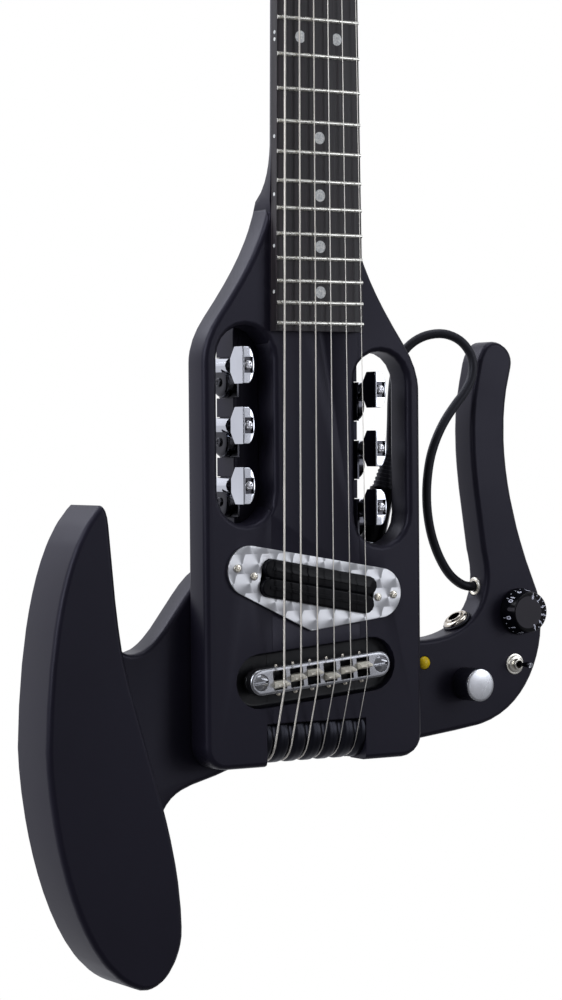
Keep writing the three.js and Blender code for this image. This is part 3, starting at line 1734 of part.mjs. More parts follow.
// The link cable, from the plug up behind the treble wing, over in a loop and down to its bush
const cableRoute = [
  [65.6, 27, 115.9],
  [65.9, 26.7, 126.7],
  [66, 26.2, 138],
  [67.2, 25.4, 150.9],
  [70.4, 24.3, 160.6],
  [76.2, 22.9, 167.6],
  [84.6, 20.6, 172.2],
  [94.7, 17.8, 173.2],
  [103.2, 15.4, 169.8],
  [108.4, 13.7, 163.6],
  [110.1, 12.9, 156.9],
  [108.8, 12.6, 149.1],
  [104.4, 12.7, 141.6],
  [98.2, 13.1, 134.4],
  [92, 13.6, 126.3],
  [87, 14.3, 117.2],
  [83.6, 15.1, 107.4],
  [82, 16, 96.8],
  [81.9, 17, 86],
  [83.5, 18.3, 75.2],
  [86.9, 19.9, 64.4],
  [91.2, 21.5, 55.9],
  [95.6, 23.1, 49.6],
  [101.6, 25.2, 43.2],
  [108, 27.2, 38.7],
  [114.6, 28.7, 35.7],
];
const cableSteps = 32;
const cableSides = 8;

function makeCable() {
  const reach = seatGap + jackNutThickness + seatGap + plugLength + reliefLength + seatGap;
  const out = new THREE.Vector3(Math.sin(linkTurn), 0, Math.cos(linkTurn));
  const start = linkSeat.clone().addScaledVector(out, reach);
  const bushFront = bushPlace[0] - bushFlange - seatGap;
  const points = [
    start,
    start.clone().addScaledVector(out, cableRadius * 1.5),
    ...cableRoute.map((point) => new THREE.Vector3(...point)),
    new THREE.Vector3(bushFront, bushDepth, bushPlace[1]),
    new THREE.Vector3(bushPlace[0] + bushLength, bushDepth, bushPlace[1]),
  ];
  const curve = new THREE.CatmullRomCurve3(points, false, "centripetal");
  const circle = new THREE.Shape();
  circle.absarc(0, 0, cableRadius, 0, 2 * Math.PI);
  const section = new THREE.Shape(circle.getSpacedPoints(cableSides).slice(0, -1));
  const tube = new THREE.ExtrudeGeometry(section, {
    steps: cableSteps,
    extrudePath: curve,
    bevelEnabled: false,
  });
  addPiece("cable", solidOf(tube), "rubber");
}

makeBody();
makeTrussRod();
makeFingerboard();
makeHeadpiece();
numbers.forEach(makeString);
makeRollers();
makeTuners();
makePickup();
makeBridge();
makeArmRest();
makeLapRest();
makeControls();
makeJackAndBush();
makeLinkJackAndPlug();
makeCable();

// The exported frame has its origin on the flat back of the spine, above the string channel
const guitar = new THREE.Group();
instrument.position.set(0, -bodyDepth, -backMountRise);
guitar.add(instrument);

export default guitar;
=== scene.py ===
import json
import math

import bmesh
import bpy
import numpy as np
from mathutils import Matrix, Vector

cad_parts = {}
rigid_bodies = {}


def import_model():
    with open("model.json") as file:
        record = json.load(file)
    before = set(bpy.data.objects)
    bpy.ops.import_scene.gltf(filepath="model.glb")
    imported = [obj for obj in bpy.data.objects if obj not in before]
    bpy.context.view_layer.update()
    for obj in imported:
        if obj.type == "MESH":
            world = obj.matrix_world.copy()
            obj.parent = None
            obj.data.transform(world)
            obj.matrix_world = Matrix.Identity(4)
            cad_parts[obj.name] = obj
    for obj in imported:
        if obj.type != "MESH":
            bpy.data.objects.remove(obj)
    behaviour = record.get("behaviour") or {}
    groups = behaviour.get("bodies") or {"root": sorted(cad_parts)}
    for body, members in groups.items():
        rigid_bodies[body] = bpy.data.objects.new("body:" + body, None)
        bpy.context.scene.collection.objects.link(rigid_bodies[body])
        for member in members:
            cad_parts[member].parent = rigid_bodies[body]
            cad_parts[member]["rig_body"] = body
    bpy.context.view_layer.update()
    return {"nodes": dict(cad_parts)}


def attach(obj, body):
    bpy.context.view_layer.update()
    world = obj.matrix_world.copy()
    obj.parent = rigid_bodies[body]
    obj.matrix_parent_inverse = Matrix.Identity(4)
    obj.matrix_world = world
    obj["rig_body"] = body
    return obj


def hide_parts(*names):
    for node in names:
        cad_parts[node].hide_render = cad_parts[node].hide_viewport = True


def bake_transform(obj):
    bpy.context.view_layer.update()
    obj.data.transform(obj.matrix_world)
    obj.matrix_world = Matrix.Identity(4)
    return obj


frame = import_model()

# Shared dimensions in millimetres, in the instrument's own frame: the front of the body is at Y = 0
# and the nominal saddle line is at Z = 0
MM = 0.001
NUMBERS = range(1, 7)
FRONT = (0, -1, 0)
BODY_DEPTH = 36
MOUNT_RISE = 185
SCALE_LENGTH = 628.65

# Neck, fingerboard and headpiece
FRET_COUNT = 22
FRET_HEIGHT = 1.1
NUT_WIDTH = 42.4
NECK_WIDTH_AT_BOARD_END = 53.4
BOARD_THICKNESS = 6.35
BOARD_CROWN = 0.9
BOARD_TAIL = 4.4
BOARD_FOOT = -0.05
BOARD_SHRINK = 0.3
SINGLE_DOTS = (3, 5, 7, 9, 15, 17, 19, 21)
DOUBLE_DOT = 12
DOT_SPREAD = 11
DOT_RADIUS = 3.17
SIDE_DOT_SPREAD = 1.8
SIDE_DOT_RADIUS = 1
HEAD_SCREWS = (-14, 0, 14)
HEAD_SCREW_RISE = 10
HEAD_FACE = -4.4

# Body and rests
RECESS_HALF = (50, 14.6)
RECESS_DEPTHS = (3.2, 16)
BLOCK_HALF = 36.5
BLOCK_FRONT = 18.35
BLOCK_FOOT = -49.5
HEEL_HALF = 23.5
HEEL_START = 163
HEEL_LENGTH = 49
CHEEK_GAIN = 1.8
CHEEK_START = 172
CHEEK_LENGTH = 40
CHEEK_DEPTH = 17.65
CHEEK_TOP = 210
CHEEK_FOOT_BASS = 60
CHEEK_FOOT_TREBLE = 58.5
CHEEK_GAP_ABOVE = 4.6
CHEEK_GAP_BELOW = 16.6
REST_FRONT = 18.3
COVER_SINK = 0.5
COVER_SCREWS = ((79, -33), (79, -3), (147, 40), (152, -2))

# Rollers and tuners
ROLLER_PITCH = 10
ROLLER_RADIUS = 14.5
ROLLER_BORE = 2.3
ROLLER_GROOVE = 1.6
ROLLER_SEAM = 0.1
ROLLER_DROP = 37.3
ROLLER_DEPTH = 14.5
TUNER_PITCH = 31
TUNER_MIDDLE_BASS = 123.9
TUNER_MIDDLE_TREBLE = 111.5
BUTTON_OFFSET = 40.6
BUTTON_FRONT = -1
BUTTON_BACK = 12
BUTTON_HALF = (3.5, 9.5)
BUTTON_RECESS = (2.6, 4.1, 1.4)
LOBE_RADIUS = 7.75
LOBE_FACE = 2.5
POST_DEPTH = 25
POST_DROP = 8.5

# Pickup and bridge
PICKUP_RISE = 40
PICKUP_TILT = 10.2
PICKUP_HALF = (35, 9.8)
PLATE_FACE = -1.65
PLATE_BACK = -0.05
PLATE_EDGE = 0.2
PLATE_ROUNDS = ((-41.2, 49.2, 13.05), (38.9, 35.4, 13.1), (-3.9, 19, 1.9))
PLATE_SCREWS = ((-48.7, 50.7), (47.2, 34.2), (-38.9, 46.4), (37.3, 33.2))
BRIDGE_DROP = 5
BRIDGE_TILT = 4.9
BRIDGE_FRONT = -5
BRIDGE_WIDTH = 13.8
SPREAD_AT_BRIDGE = 51.3

# Controls
VOLUME_PLACE = (143.8, 20.8)
VOLUME_HEIGHT = 11
MIXER_PLACE = (107.3, -17.3)
MIXER_HEIGHT = 14.6
MIXER_RADIUS = 8.95
KNOB_BASE = REST_FRONT - 0.7
KNOB_SHAFT = ((0, -3.1), (2.9, -3.1), (2.9, 0))
KNURL_COUNT = 26
KNURL_DEPTH = 0.3
POINTER_TURN = 171
DIAL_START = 194.4
DIAL_STEP = 30.8
DIAL_TOP = 10
TOGGLE_PLACE = (141, -8.2)
INDICATOR_PLACE = (80.6, -4.8)
JACK_PLACE = (108.9, 27.15, 15.7)
JACK_TILT = -35

# Link cable, with its route from the plug in the body to the bush in the lap rest
CABLE_DIAMETER = 5
BUSH_PLACE = (122.8, 29, 34.8)
LINK_TILT = 14
LINK_SEAT = (52, 27.15, 57.5)
LINK_REACH = 53.5
RELIEF_START = 33.2
RELIEF_END = 53.4
RIB_COUNT = 9
RIB_PITCH = 2.2
RIB_RADII = (5.7, 3.1)
CABLE_ROUTE = [
    (65.6, 27, 115.9),
    (65.9, 26.7, 126.7),
    (66, 26.2, 138),
    (67.2, 25.4, 150.9),
    (70.4, 24.3, 160.6),
    (76.2, 22.9, 167.6),
    (84.6, 20.6, 172.2),
    (94.7, 17.8, 173.2),
    (103.2, 15.4, 169.8),
    (108.4, 13.7, 163.6),
    (110.1, 12.9, 156.9),
    (108.8, 12.6, 149.1),
    (104.4, 12.7, 141.6),
    (98.2, 13.1, 134.4),
    (92, 13.6, 126.3),
    (87, 14.3, 117.2),
    (83.6, 15.1, 107.4),
    (82, 16, 96.8),
    (81.9, 17, 86),
    (83.5, 18.3, 75.2),
    (86.9, 19.9, 64.4),
    (91.2, 21.5, 55.9),
    (95.6, 23.1, 49.6),
    (101.6, 25.2, 43.2),
    (108, 27.2, 38.7),
    (114.6, 28.7, 35.7),
]


def row_point(x, y, z):
    return Vector((x, y - BODY_DEPTH, z - MOUNT_RISE)) * MM


def mix(a, b, share):
    return a + (b - a) * share


def fret_rise(number):
    return SCALE_LENGTH * 2 ** (-number / 12)


BOARD_END = fret_rise(FRET_COUNT) - BOARD_TAIL


def neck_half(rise):
    share = (SCALE_LENGTH - rise) / (SCALE_LENGTH - BOARD_END)
    return mix(NUT_WIDTH, NECK_WIDTH_AT_BOARD_END, share) / 2


def tuner_place(number):
    side = -1 if number <= 3 else 1
    level = number - 1 if side < 0 else 6 - number
    middle = TUNER_MIDDLE_BASS if side < 0 else TUNER_MIDDLE_TREBLE
    return side, middle + (level - 1) * TUNER_PITCH


# Camera, fitted to the photograph, in millimetres
CAMERA_PLACE = (-793.22, -1247.09, 114.49)
CAMERA_RIGHT = (0.85015, -0.52648, -0.00768)
CAMERA_UP = (0.01700, 0.01287, 0.99977)
CAMERA_LENS = 102.3


def make_camera():
    data = bpy.data.cameras.new("camera")
    data.lens = CAMERA_LENS
    data.sensor_width = 36
    data.clip_start = 0.05
    data.clip_end = 20
    camera = bpy.data.objects.new("camera", data)
    right = Vector(CAMERA_RIGHT).normalized()
    back = right.cross(Vector(CAMERA_UP)).normalized()
    up = back.cross(right)
    turn = Matrix((right, up, back)).transposed().to_4x4()
    camera.matrix_world = Matrix.Translation(row_point(*CAMERA_PLACE)) @ turn
    bpy.context.scene.collection.objects.link(camera)
    bpy.context.scene.camera = camera


make_camera()

# Mesh helpers. A part is a list of points in millimetres and a list of faces


def combined(parts):
    points = []
    faces = []
    for part_points, part_faces in parts:
        base = len(points)
        points += part_points
        faces += [tuple(base + i for i in face) for face in part_faces]
    return points, faces


def moved(part, matrix):
    points, faces = part
    return [matrix @ Vector(p) for p in points], faces


def facing(axis, place, turn=0):
    """Turns the local +Z axis to the given axis and moves it to a place."""
    rotation = Vector(axis).to_track_quat("Z", "Y").to_matrix().to_4x4()
    return Matrix.Translation(place) @ rotation @ Matrix.Rotation(math.radians(turn), 4, "Z")


def angles(count):
    return [2 * math.pi * i / count for i in range(count)]


def skin(rings, caps=True):
    """Faces between rings of equally many points, and over the first and last ring."""
    size = len(rings[0])
    points = [Vector(p) for ring in rings for p in ring]
    faces = []
    for a in range(0, (len(rings) - 1) * size, size):
        b = a + size
        for i in range(size):
            j = (i + 1) % size
            faces.append((a + i, a + j, b + j, b + i))
    if caps:
        faces.append(tuple(reversed(range(size))))
        faces.append(tuple(range((len(rings) - 1) * size, len(rings) * size)))
    return points, faces


def lathe(profile, segments=40, wave=None):
    """Turns (radius, along) pairs about +Z. wave(angle, along) adds to the radius."""
    rings = []
    for radius, along in profile:
        ring = []
        for angle in angles(segments):
            reach = radius + (wave(angle, along) if wave and radius > 0 else 0)
            ring.append((reach * math.cos(angle), reach * math.sin(angle), along))
        rings.append(ring)
    return skin(rings, caps=profile[0] != profile[-1])


def turned(profile, axis, place, segments=40, wave=None):
    """A turned part that stands at a place, with its own +Z along the given axis."""
    return moved(lathe(profile, segments, wave), facing(axis, place))


def hull(rounds):
    """The outline that a band would take round some circles, each given as (x, z, radius)."""
    spots = sorted((x + r * math.cos(a), z + r * math.sin(a)) for x, z, r in rounds for a in angles(64))
    outline = []
    for row in (spots, list(reversed(spots))):
        chain = []
        for spot in row:
            while len(chain) > 1:
                (ax, az), (bx, bz) = chain[-2:]
                if (bx - ax) * (spot[1] - az) - (bz - az) * (spot[0] - ax) > 1e-9:
                    break
                chain.pop()
            chain.append(spot)
        outline += chain[:-1]
    return outline


def tube(points, radius, sides):
    centres = [Vector(p) for p in points]
    normal = Vector((1, 0, 0))
    rings = []
    for i, centre in enumerate(centres):
        before = centres[max(i - 1, 0)]
        after = centres[min(i + 1, len(centres) - 1)]
        tangent = (after - before).normalized()
        normal = (normal - tangent * normal.dot(tangent)).normalized()
        side = tangent.cross(normal)
        rings.append([centre + (normal * math.cos(a) + side * math.sin(a)) * radius for a in angles(sides)])
    return skin(rings)


def cross_screw(radius, height, segments=32):
    """A domed screw head with a cross recess, standing on Z = 0."""
    slot = radius * 0.16
    reach = radius * 0.62
    wall = height * 0.55
    rings = [[(radius * math.cos(a), radius * math.sin(a), 0) for a in angles(segments)]]
    for share in (1, 0.97, 0.88, 0.78, 0.68, 0.6, 0.5, 0.4, 0.3, 0.2, 0.1, 0.02):
        ring = []
        for a in angles(segments):
            x = radius * share * math.cos(a)
            y = radius * share * math.sin(a)
            dome = wall + (height - wall) * math.sqrt(max(1 - share**2, 0))
            across = min(abs(x), abs(y))
            along = max(abs(x), abs(y))
            inside = np.clip((slot - across) / (slot * 0.5), 0, 1) * np.clip((reach - along) / slot, 0, 1)
            ring.append((x, y, dome - wall * float(inside)))
        rings.append(ring)
    return skin(rings)


def screws(places, axis, radius, height, turn=0):
    """Cross screws of one size at some places on a face."""
    head = cross_screw(radius, height)
    return combined([moved(head, facing(axis, place, turn)) for place in places])


def smooth(mesh, angle):
    for polygon in mesh.polygons:
        polygon.use_smooth = True
    mesh.set_sharp_from_angle(angle=math.radians(angle))


def flatten(piece):
    """Normals that follow the large faces, so that flat faces look flat next to small round edges."""
    weighted = piece.modifiers.new("weighted", "WEIGHTED_NORMAL")
    weighted.keep_sharp = True
    weighted.weight = 100
    bpy.context.view_layer.update()
    graph = bpy.context.evaluated_depsgraph_get()
    piece.data = bpy.data.meshes.new_from_object(piece.evaluated_get(graph), depsgraph=graph)
    piece.modifiers.clear()


def curve_part(curve):
    """The points and faces of a filled curve, which is then taken away."""
    holder = bpy.data.objects.new("outline", curve)
    bpy.context.scene.collection.objects.link(holder)
    graph = bpy.context.evaluated_depsgraph_get()
    mesh = holder.evaluated_get(graph).to_mesh()
    part = ([v.co.copy() for v in mesh.vertices], [tuple(p.vertices) for p in mesh.polygons])
    bpy.data.objects.remove(holder)
    bpy.data.curves.remove(curve)
    return part


def as_piece(name, mesh, material, angle):
    """An object with the mesh and one material, sharp only at edges steeper than the angle."""
    smooth(mesh, angle)
    mesh.materials.clear()
    mesh.materials.append(material)
    piece = bpy.data.objects.new(name, mesh)
    bpy.context.scene.collection.objects.link(piece)
    flatten(piece)
    return piece


def add_piece(name, part, material, body, stands_for=(), angle=35):
    """A new piece from a part. It rides on a body, and may replace nodes of the frame."""
    points, faces = part
    mesh = bpy.data.meshes.new(name)
    mesh.from_pydata([row_point(*p) for p in points], [], faces)
    build = bmesh.new()
    build.from_mesh(mesh)
    bmesh.ops.remove_doubles(build, verts=build.verts, dist=1e-6)
    bmesh.ops.recalc_face_normals(build, faces=build.faces)
    build.to_mesh(mesh)
    build.free()
    piece = as_piece(name, mesh, material, angle)
    if body:
        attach(piece, body)
    if stands_for:
        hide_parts(*stands_for)
    return piece


def refine(node, material, angle=40):
    """A copy of a node's solid with welded corners and no needless edges, which replaces it."""
    source = frame["nodes"][node]
    mesh = source.data.copy()
    build = bmesh.new()
    build.from_mesh(mesh)
    bmesh.ops.remove_doubles(build, verts=build.verts, dist=2e-6)
    limit = math.radians(0.6)
    bmesh.ops.dissolve_limit(build, angle_limit=limit, verts=build.verts, edges=build.edges)
    build.to_mesh(mesh)
    build.free()
    piece = as_piece(node + "_look", mesh, material, angle)
    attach(piece, source["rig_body"])
    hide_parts(node)
    return piece


def spot_of(point):
    """The place in the instrument's frame of a point of a mesh."""
    x, y, z = point / MM
    return x, y + BODY_DEPTH, z + MOUNT_RISE


def paint(piece, material, chosen):
    """Gives another material to the faces whose centre is chosen."""
    piece.data.materials.append(material)
    slot = len(piece.data.materials) - 1
    for polygon in piece.data.polygons:
        if chosen(*spot_of(polygon.center)):
            polygon.material_index = slot


def without(piece, chosen):
    """Takes away the faces whose centre is chosen, where a finer piece takes their place."""
    build = bmesh.new()
    build.from_mesh(piece.data)
    dropped = [face for face in build.faces if chosen(*spot_of(face.calc_center_median()))]
    bmesh.ops.delete(build, geom=dropped, context="FACES")
    build.to_mesh(piece.data)
    build.free()


# Material helpers


class Nodes:
    """A node tree that is built by short calls."""

    def __init__(self, tree):
        self.nodes = tree.nodes
        self.links = tree.links

    def set(self, node, name, value):
        """Links a socket, or sets a number, or a colour that is given without alpha."""
        if isinstance(value, bpy.types.NodeSocket):
            self.links.new(value, node.inputs[name])
        elif isinstance(value, tuple):
            node.inputs[name].default_value = (*value, 1)
        else:
            node.inputs[name].default_value = value

    def node(self, kind, values=None):
        """A new node, with the values or links of its inputs."""
        node = self.nodes.new("ShaderNode" + kind)
        for name, value in (values or {}).items():
            self.set(node, name, value)
        return node

    def math(self, operation, *values):
        node = self.node("Math", dict(enumerate(values)))
        node.operation = operation
        return node.outputs[0]

    def spread(self, value, low, high, start=0.3, end=0.7):
        """Goes smoothly from low to high, while the value goes from start to end."""
        ends = {"From Min": start, "From Max": end, "To Min": low, "To Max": high}
        node = self.node("MapRange", {"Value": value, **ends})
        node.interpolation_type = "SMOOTHSTEP"
        return node.outputs["Result"]

    def blend(self, share, first, second):
        """A mix of two colours."""
        node = self.node("Mix")
        node.data_type = "RGBA"
        for i, value in ((0, share), (6, first), (7, second)):
            self.set(node, i, value)
        return node.outputs[2]

    def split(self, vector):
        return self.node("SeparateXYZ", {0: vector}).outputs


class Finish(Nodes):
    """A material, with steps that the materials share."""

    def __init__(self, name, colour, roughness, metallic=0, specular=0.5, tint=(1, 1, 1)):
        self.material = bpy.data.materials.new(name)
        self.material.use_nodes = True
        self.material.diffuse_color = (*colour, 1)
        super().__init__(self.material.node_tree)
        self.shader = self.nodes["Principled BSDF"]
        self.shade("Base Color", colour)
        self.shade("Roughness", roughness)
        self.shade("Metallic", metallic)
        self.shade("Specular IOR Level", specular)
        self.shade("Specular Tint", tint)
        self.colour = colour
        self.roughness = roughness
        self.round = None
        self.place = self.node("TexCoord").outputs["Object"]

    def shade(self, name, value):
        self.set(self.shader, name, value)

    def scaled(self, scale):
        """The place on the object, multiplied by one number or by one for each axis."""
        node = self.node("VectorMath", {0: self.place})
        node.operation = "MULTIPLY"
        node.inputs[1].default_value = scale if isinstance(scale, tuple) else (scale,) * 3
        return node.outputs[0]

    def noise(self, scale, detail=4, roughness=0.55):
        values = {"Vector": self.scaled(scale), "Scale": 1, "Detail": detail, "Roughness": roughness}
        return self.node("TexNoise", values).outputs["Fac"]

    def vary(self, scale, colour_share, roughness_share):
        """Clouds of slightly darker and lighter, smoother and rougher surface."""
        cloud = self.noise(scale)
        dark, light = [tuple(c * (1 + s * colour_share) for c in self.colour) for s in (-1, 1)]
        low, high = [self.roughness * (1 + s * roughness_share) for s in (-1, 1)]
        self.shade("Base Color", self.blend(self.spread(cloud, 0, 1), dark, light))
        self.shade("Roughness", self.spread(cloud, low, high))
        return self

    def edges(self, radius):
        """Small round edges, on which the bump then works."""
        node = self.node("Bevel", {"Radius": radius * MM})
        node.samples = 4
        self.round = node.outputs["Normal"]
        self.shade("Normal", self.round)
        return self

    def bump(self, height, distance):
        """A surface that is uneven by a distance. It is the last step, and gives the material."""
        node = self.node("Bump", {"Height": height, "Distance": distance * MM})
        if self.round:
            self.set(node, "Normal", self.round)
        self.shade("Normal", node.outputs["Normal"])
        return self.material

    def grain(self, scale, detail, distance):
        return self.bump(self.noise(scale, detail), distance)


def satin_paint():
    colour = (0.0096, 0.0087, 0.0155)
    finish = Finish("satin_paint", colour, 0.38, specular=0.25, tint=(0.84, 0.82, 1))
    return finish.vary(14, 0.12, 0.1).edges(0.5).grain(2600, 2, 0.012)


def moulded_plastic():
    colour = (0.0104, 0.0096, 0.0165)
    finish = Finish("moulded_plastic", colour, 0.45, specular=0.22, tint=(0.84, 0.82, 1))
    return finish.vary(18, 0.12, 0.1).edges(0.5).grain(2200, 3, 0.016)


def gloss_black():
    finish = Finish("gloss_black", (0.003, 0.003, 0.0045), 0.22, specular=0.1)
    return finish.vary(40, 0.2, 0.3).edges(0.35).grain(700, 2, 0.006)


def dark_resin():
    finish = Finish("dark_resin", (0.006, 0.006, 0.0085), 0.4, specular=0.3)
    return finish.vary(60, 0.2, 0.2).edges(0.3).grain(1500, 2, 0.008)


def roller_black():
    finish = Finish("roller_black", (0.005, 0.005, 0.008), 0.32, specular=0.32, tint=(0.8, 0.82, 1))
    return finish.vary(60, 0.15, 0.1).grain(1500, 2, 0.003)


def saddle_metal():
    finish = Finish("saddle_metal", (0.86, 0.82, 0.7), 0.4, metallic=0.45)
    return finish.vary(120, 0.1, 0.2).edges(0.2).grain(700, 2, 0.006)


def rubber():
    finish = Finish("rubber", (0.0105, 0.0105, 0.013), 0.5, specular=0.4, tint=(0.85, 0.87, 1))
    return finish.vary(80, 0.15, 0.12).grain(1800, 3, 0.02)


def board_wood():
    """Dark wood with long grain along the neck and short open pores."""
    finish = Finish("board_wood", (0.03, 0.024, 0.022), 0.5)
    grain = finish.noise((900, 900, 14), 6, 0.6)
    pores = finish.noise((2600, 2600, 60), 3, 0.6)
    streak = finish.spread(grain, 0, 1, 0.42, 0.66)
    tone = finish.blend(streak, (0.0085, 0.0068, 0.0085), (0.034, 0.026, 0.0305))
    tone = finish.blend(finish.spread(pores, 0, 0.75, 0.56, 0.7), tone, (0.005, 0.004, 0.004))
    finish.shade("Base Color", tone)
    finish.shade("Roughness", finish.spread(grain, 0.42, 0.6))
    finish.edges(0.3)
    return finish.bump(pores, 0.05)


def metal(name, colour, roughness, grain, depth, edge=0.25):
    finish = Finish(name, colour, roughness, metallic=1)
    return finish.vary(grain, 0.06, 0.35).edges(edge).grain(grain * 3, 1, depth)


def wound_wire():
    finish = Finish("wound_wire", (0.92, 0.87, 0.78), 0.42, metallic=0.75)
    finish.vary((200, 200, 12), 0.12, 0.25)
    winding = 0.32 * MM
    rise = finish.split(finish.place)["Z"]
    return finish.bump(finish.math("SINE", finish.math("MULTIPLY", rise, 2 * math.pi / winding)), 0.03)


def plain_wire():
    finish = Finish("plain_wire", (0.92, 0.88, 0.8), 0.36, metallic=0.75)
    return finish.vary((200, 200, 20), 0.1, 0.25).grain((3000, 3000, 90), 2, 0.01)


def swirled_aluminium():
    """Overlapping round swirls, cut in rows, each brushed round its own centre. The colour also holds a
    painted reflection: lighter and darker wedges round each centre.
    """
    finish = Finish("swirled_aluminium", (0.62, 0.63, 0.64), 0.32, metallic=1)
    calc = finish.math
    pitch = 10 * MM
    radius = 9 * MM
    brushing = 0.45 * MM
    spot = finish.split(finish.place)
    x = calc("ADD", spot["X"], 1.3 * MM)
    z = calc("ADD", spot["Z"], 2.1 * MM)
    row = calc("ROUND", calc("DIVIDE", z, pitch))
    up = calc("SUBTRACT", z, calc("MULTIPLY", row, pitch))
    up_squared = calc("MULTIPLY", up, up)
    x = calc("ADD", x, calc("MULTIPLY", calc("PINGPONG", row, 1.0), pitch / 2))
    reach = calc("SQRT", calc("SUBTRACT", radius**2, up_squared))
    column = calc("FLOOR", calc("DIVIDE", calc("ADD", x, reach), pitch))
    across = calc("SUBTRACT", x, calc("MULTIPLY", column, pitch))
    span = calc("SQRT", calc("ADD", up_squared, calc("MULTIPLY", across, across)))
    # Painted reflection: a fan of lighter and darker wedges round each swirl's centre, in place of light
    # caught by the brushing
    painted_sheen_fan = calc("COSINE", calc("MULTIPLY_ADD", calc("ARCTAN2", up, across), 2.0, 0.9))
    rings = calc("SINE", calc("MULTIPLY", span, 2 * math.pi / brushing))
    # The tone and roughness follow the brushed rings together with the painted reflection fan
    shade = calc("MULTIPLY_ADD", rings, 0.06, calc("MULTIPLY_ADD", painted_sheen_fan, 0.5, 0.5))
    tone = finish.blend(finish.spread(shade, 0, 1, 0, 1), (0.43, 0.435, 0.45), (0.74, 0.745, 0.76))
    finish.shade("Base Color", tone)
    finish.shade("Roughness", finish.spread(shade, 0.5, 0.36, 0, 1))
    tangent = finish.node("CombineXYZ", {"X": calc("MULTIPLY", up, -1.0), "Z": across})
    finish.shade("Anisotropic", 0.6)
    finish.shade("Tangent", tangent.outputs[0])
    finish.edges(0.3)
    return finish.bump(rings, 0.004)


def pearl():
    finish = Finish("pearl", (0.62, 0.63, 0.62), 0.22)
    cloud = finish.noise(900, 5, 0.7)
    tone = finish.blend(finish.spread(cloud, 0, 1), (0.42, 0.45, 0.46), (0.86, 0.85, 0.8))
    finish.shade("Base Color", tone)
    return finish.bump(cloud, 0.01)


def amber_lens():
    finish = Finish("amber_lens", (1.0, 0.74, 0.015), 0.3, specular=0.3)
    facets = finish.node("TexVoronoi", {"Vector": finish.scaled(1300), "Scale": 1}).outputs["Distance"]
    finish.shade("Base Color", finish.blend(facets, (1.0, 0.78, 0.02), (0.95, 0.6, 0.01)))
    return finish.bump(facets, 0.05)


def knob_top():
    finish = Finish("knob_top", (0.043, 0.04, 0.047), 0.5, specular=0.2)
    return finish.vary(60, 0.12, 0.1).grain(900, 2, 0.006)


def white_ink():
    finish = Finish("white_ink", (0.85, 0.87, 1.0), 0.5)
    return finish.vary(3000, 0.1, 0.1).material


def circuit():
    finish = Finish("circuit", (0.01, 0.09, 0.035), 0.4)
    tracks = finish.node("TexBrick", {"Vector": finish.scaled(350)}).outputs["Fac"]
    finish.shade("Base Color", finish.blend(tracks, (0.008, 0.075, 0.03), (0.02, 0.16, 0.06)))
    return finish.bump(tracks, 0.02)


SATIN = satin_paint()
PLASTIC = moulded_plastic()
GLOSS = gloss_black()
RESIN = dark_resin()
RUBBER = rubber()
ROLLER = roller_black()
SADDLE = saddle_metal()
WOOD = board_wood()
CHROME = metal("chrome", (0.72, 0.74, 0.79), 0.07, 30, 0.002)
# A darker copy of chrome, used as painted shade and painted dark reflection on the tuners' housings, gear
# covers, post ends, gear screws and key pockets
PAINTED_SHADE_CHROME = metal("painted_shade_chrome", (0.055, 0.055, 0.062), 0.16, 60, 0.004)
BRIDGE_METAL = metal("bridge_metal", (0.4, 0.405, 0.425), 0.2, 60, 0.005)
SATIN_CHROME = metal("satin_chrome", (0.62, 0.63, 0.65), 0.24, 60, 0.01)
NICKEL = metal("nickel", (0.68, 0.63, 0.54), 0.2, 60, 0.01)
FRET_METAL = metal("fret_metal", (0.7, 0.69, 0.63), 0.28, 300, 0.006, 0.2)
BRIGHT_NICKEL = metal("bright_nickel", (0.92, 0.89, 0.8), 0.3, 60, 0.01)
BRASS = metal("brass", (0.62, 0.44, 0.18), 0.28, 90, 0.012)
SCREW_STEEL = metal("screw_steel", (0.56, 0.56, 0.58), 0.16, 90, 0.004, 0.05)
SCREW_NICKEL = metal("screw_nickel", (0.78, 0.74, 0.64), 0.2, 90, 0.004, 0.05)
STEEL = metal("steel", (0.5, 0.5, 0.5), 0.35, 90, 0.012)
WOUND = wound_wire()
PLAIN = plain_wire()
SWIRLED = swirled_aluminium()
PEARL = pearl()
AMBER = amber_lens()
KNOB_TOP = knob_top()
INK = white_ink()
BOARD_GREEN = circuit()

# Link cable


def centripetal(points, steps):
    """A smooth curve through the points, with a number of steps between each two."""
    spots = [Vector(p) for p in points]
    spots = [spots[0] * 2 - spots[1], *spots, spots[-1] * 2 - spots[-2]]
    result = []
    for a, b, c, d in zip(spots, spots[1:], spots[2:], spots[3:]):
        ta = 0.0
        tb = ta + (b - a).length ** 0.5
        tc = tb + (c - b).length ** 0.5
        td = tc + (d - c).length ** 0.5
        for i in range(steps):
            t = mix(tb, tc, i / steps)
            ab = a * ((tb - t) / (tb - ta)) + b * ((t - ta) / (tb - ta))
            bc = b * ((tc - t) / (tc - tb)) + c * ((t - tb) / (tc - tb))
            cd = c * ((td - t) / (td - tc)) + d * ((t - tc) / (td - tc))
            abc = ab * ((tc - t) / (tc - ta)) + bc * ((t - ta) / (tc - ta))
            bcd = bc * ((td - t) / (td - tb)) + cd * ((t - tb) / (td - tb))
            result.append(abc * ((tc - t) / (tc - tb)) + bcd * ((t - tb) / (tc - tb)))
    return [*result, spots[-2]]


LINK_TURN = math.radians(LINK_TILT)
LINK_AXIS = Vector((math.sin(LINK_TURN), 0, math.cos(LINK_TURN)))


def along_plug(x, z):
    """How far along the plug a place is, from the plug's seat in the body."""
    return (x - LINK_SEAT[0]) * LINK_AXIS.x + (z - LINK_SEAT[2]) * LINK_AXIS.z


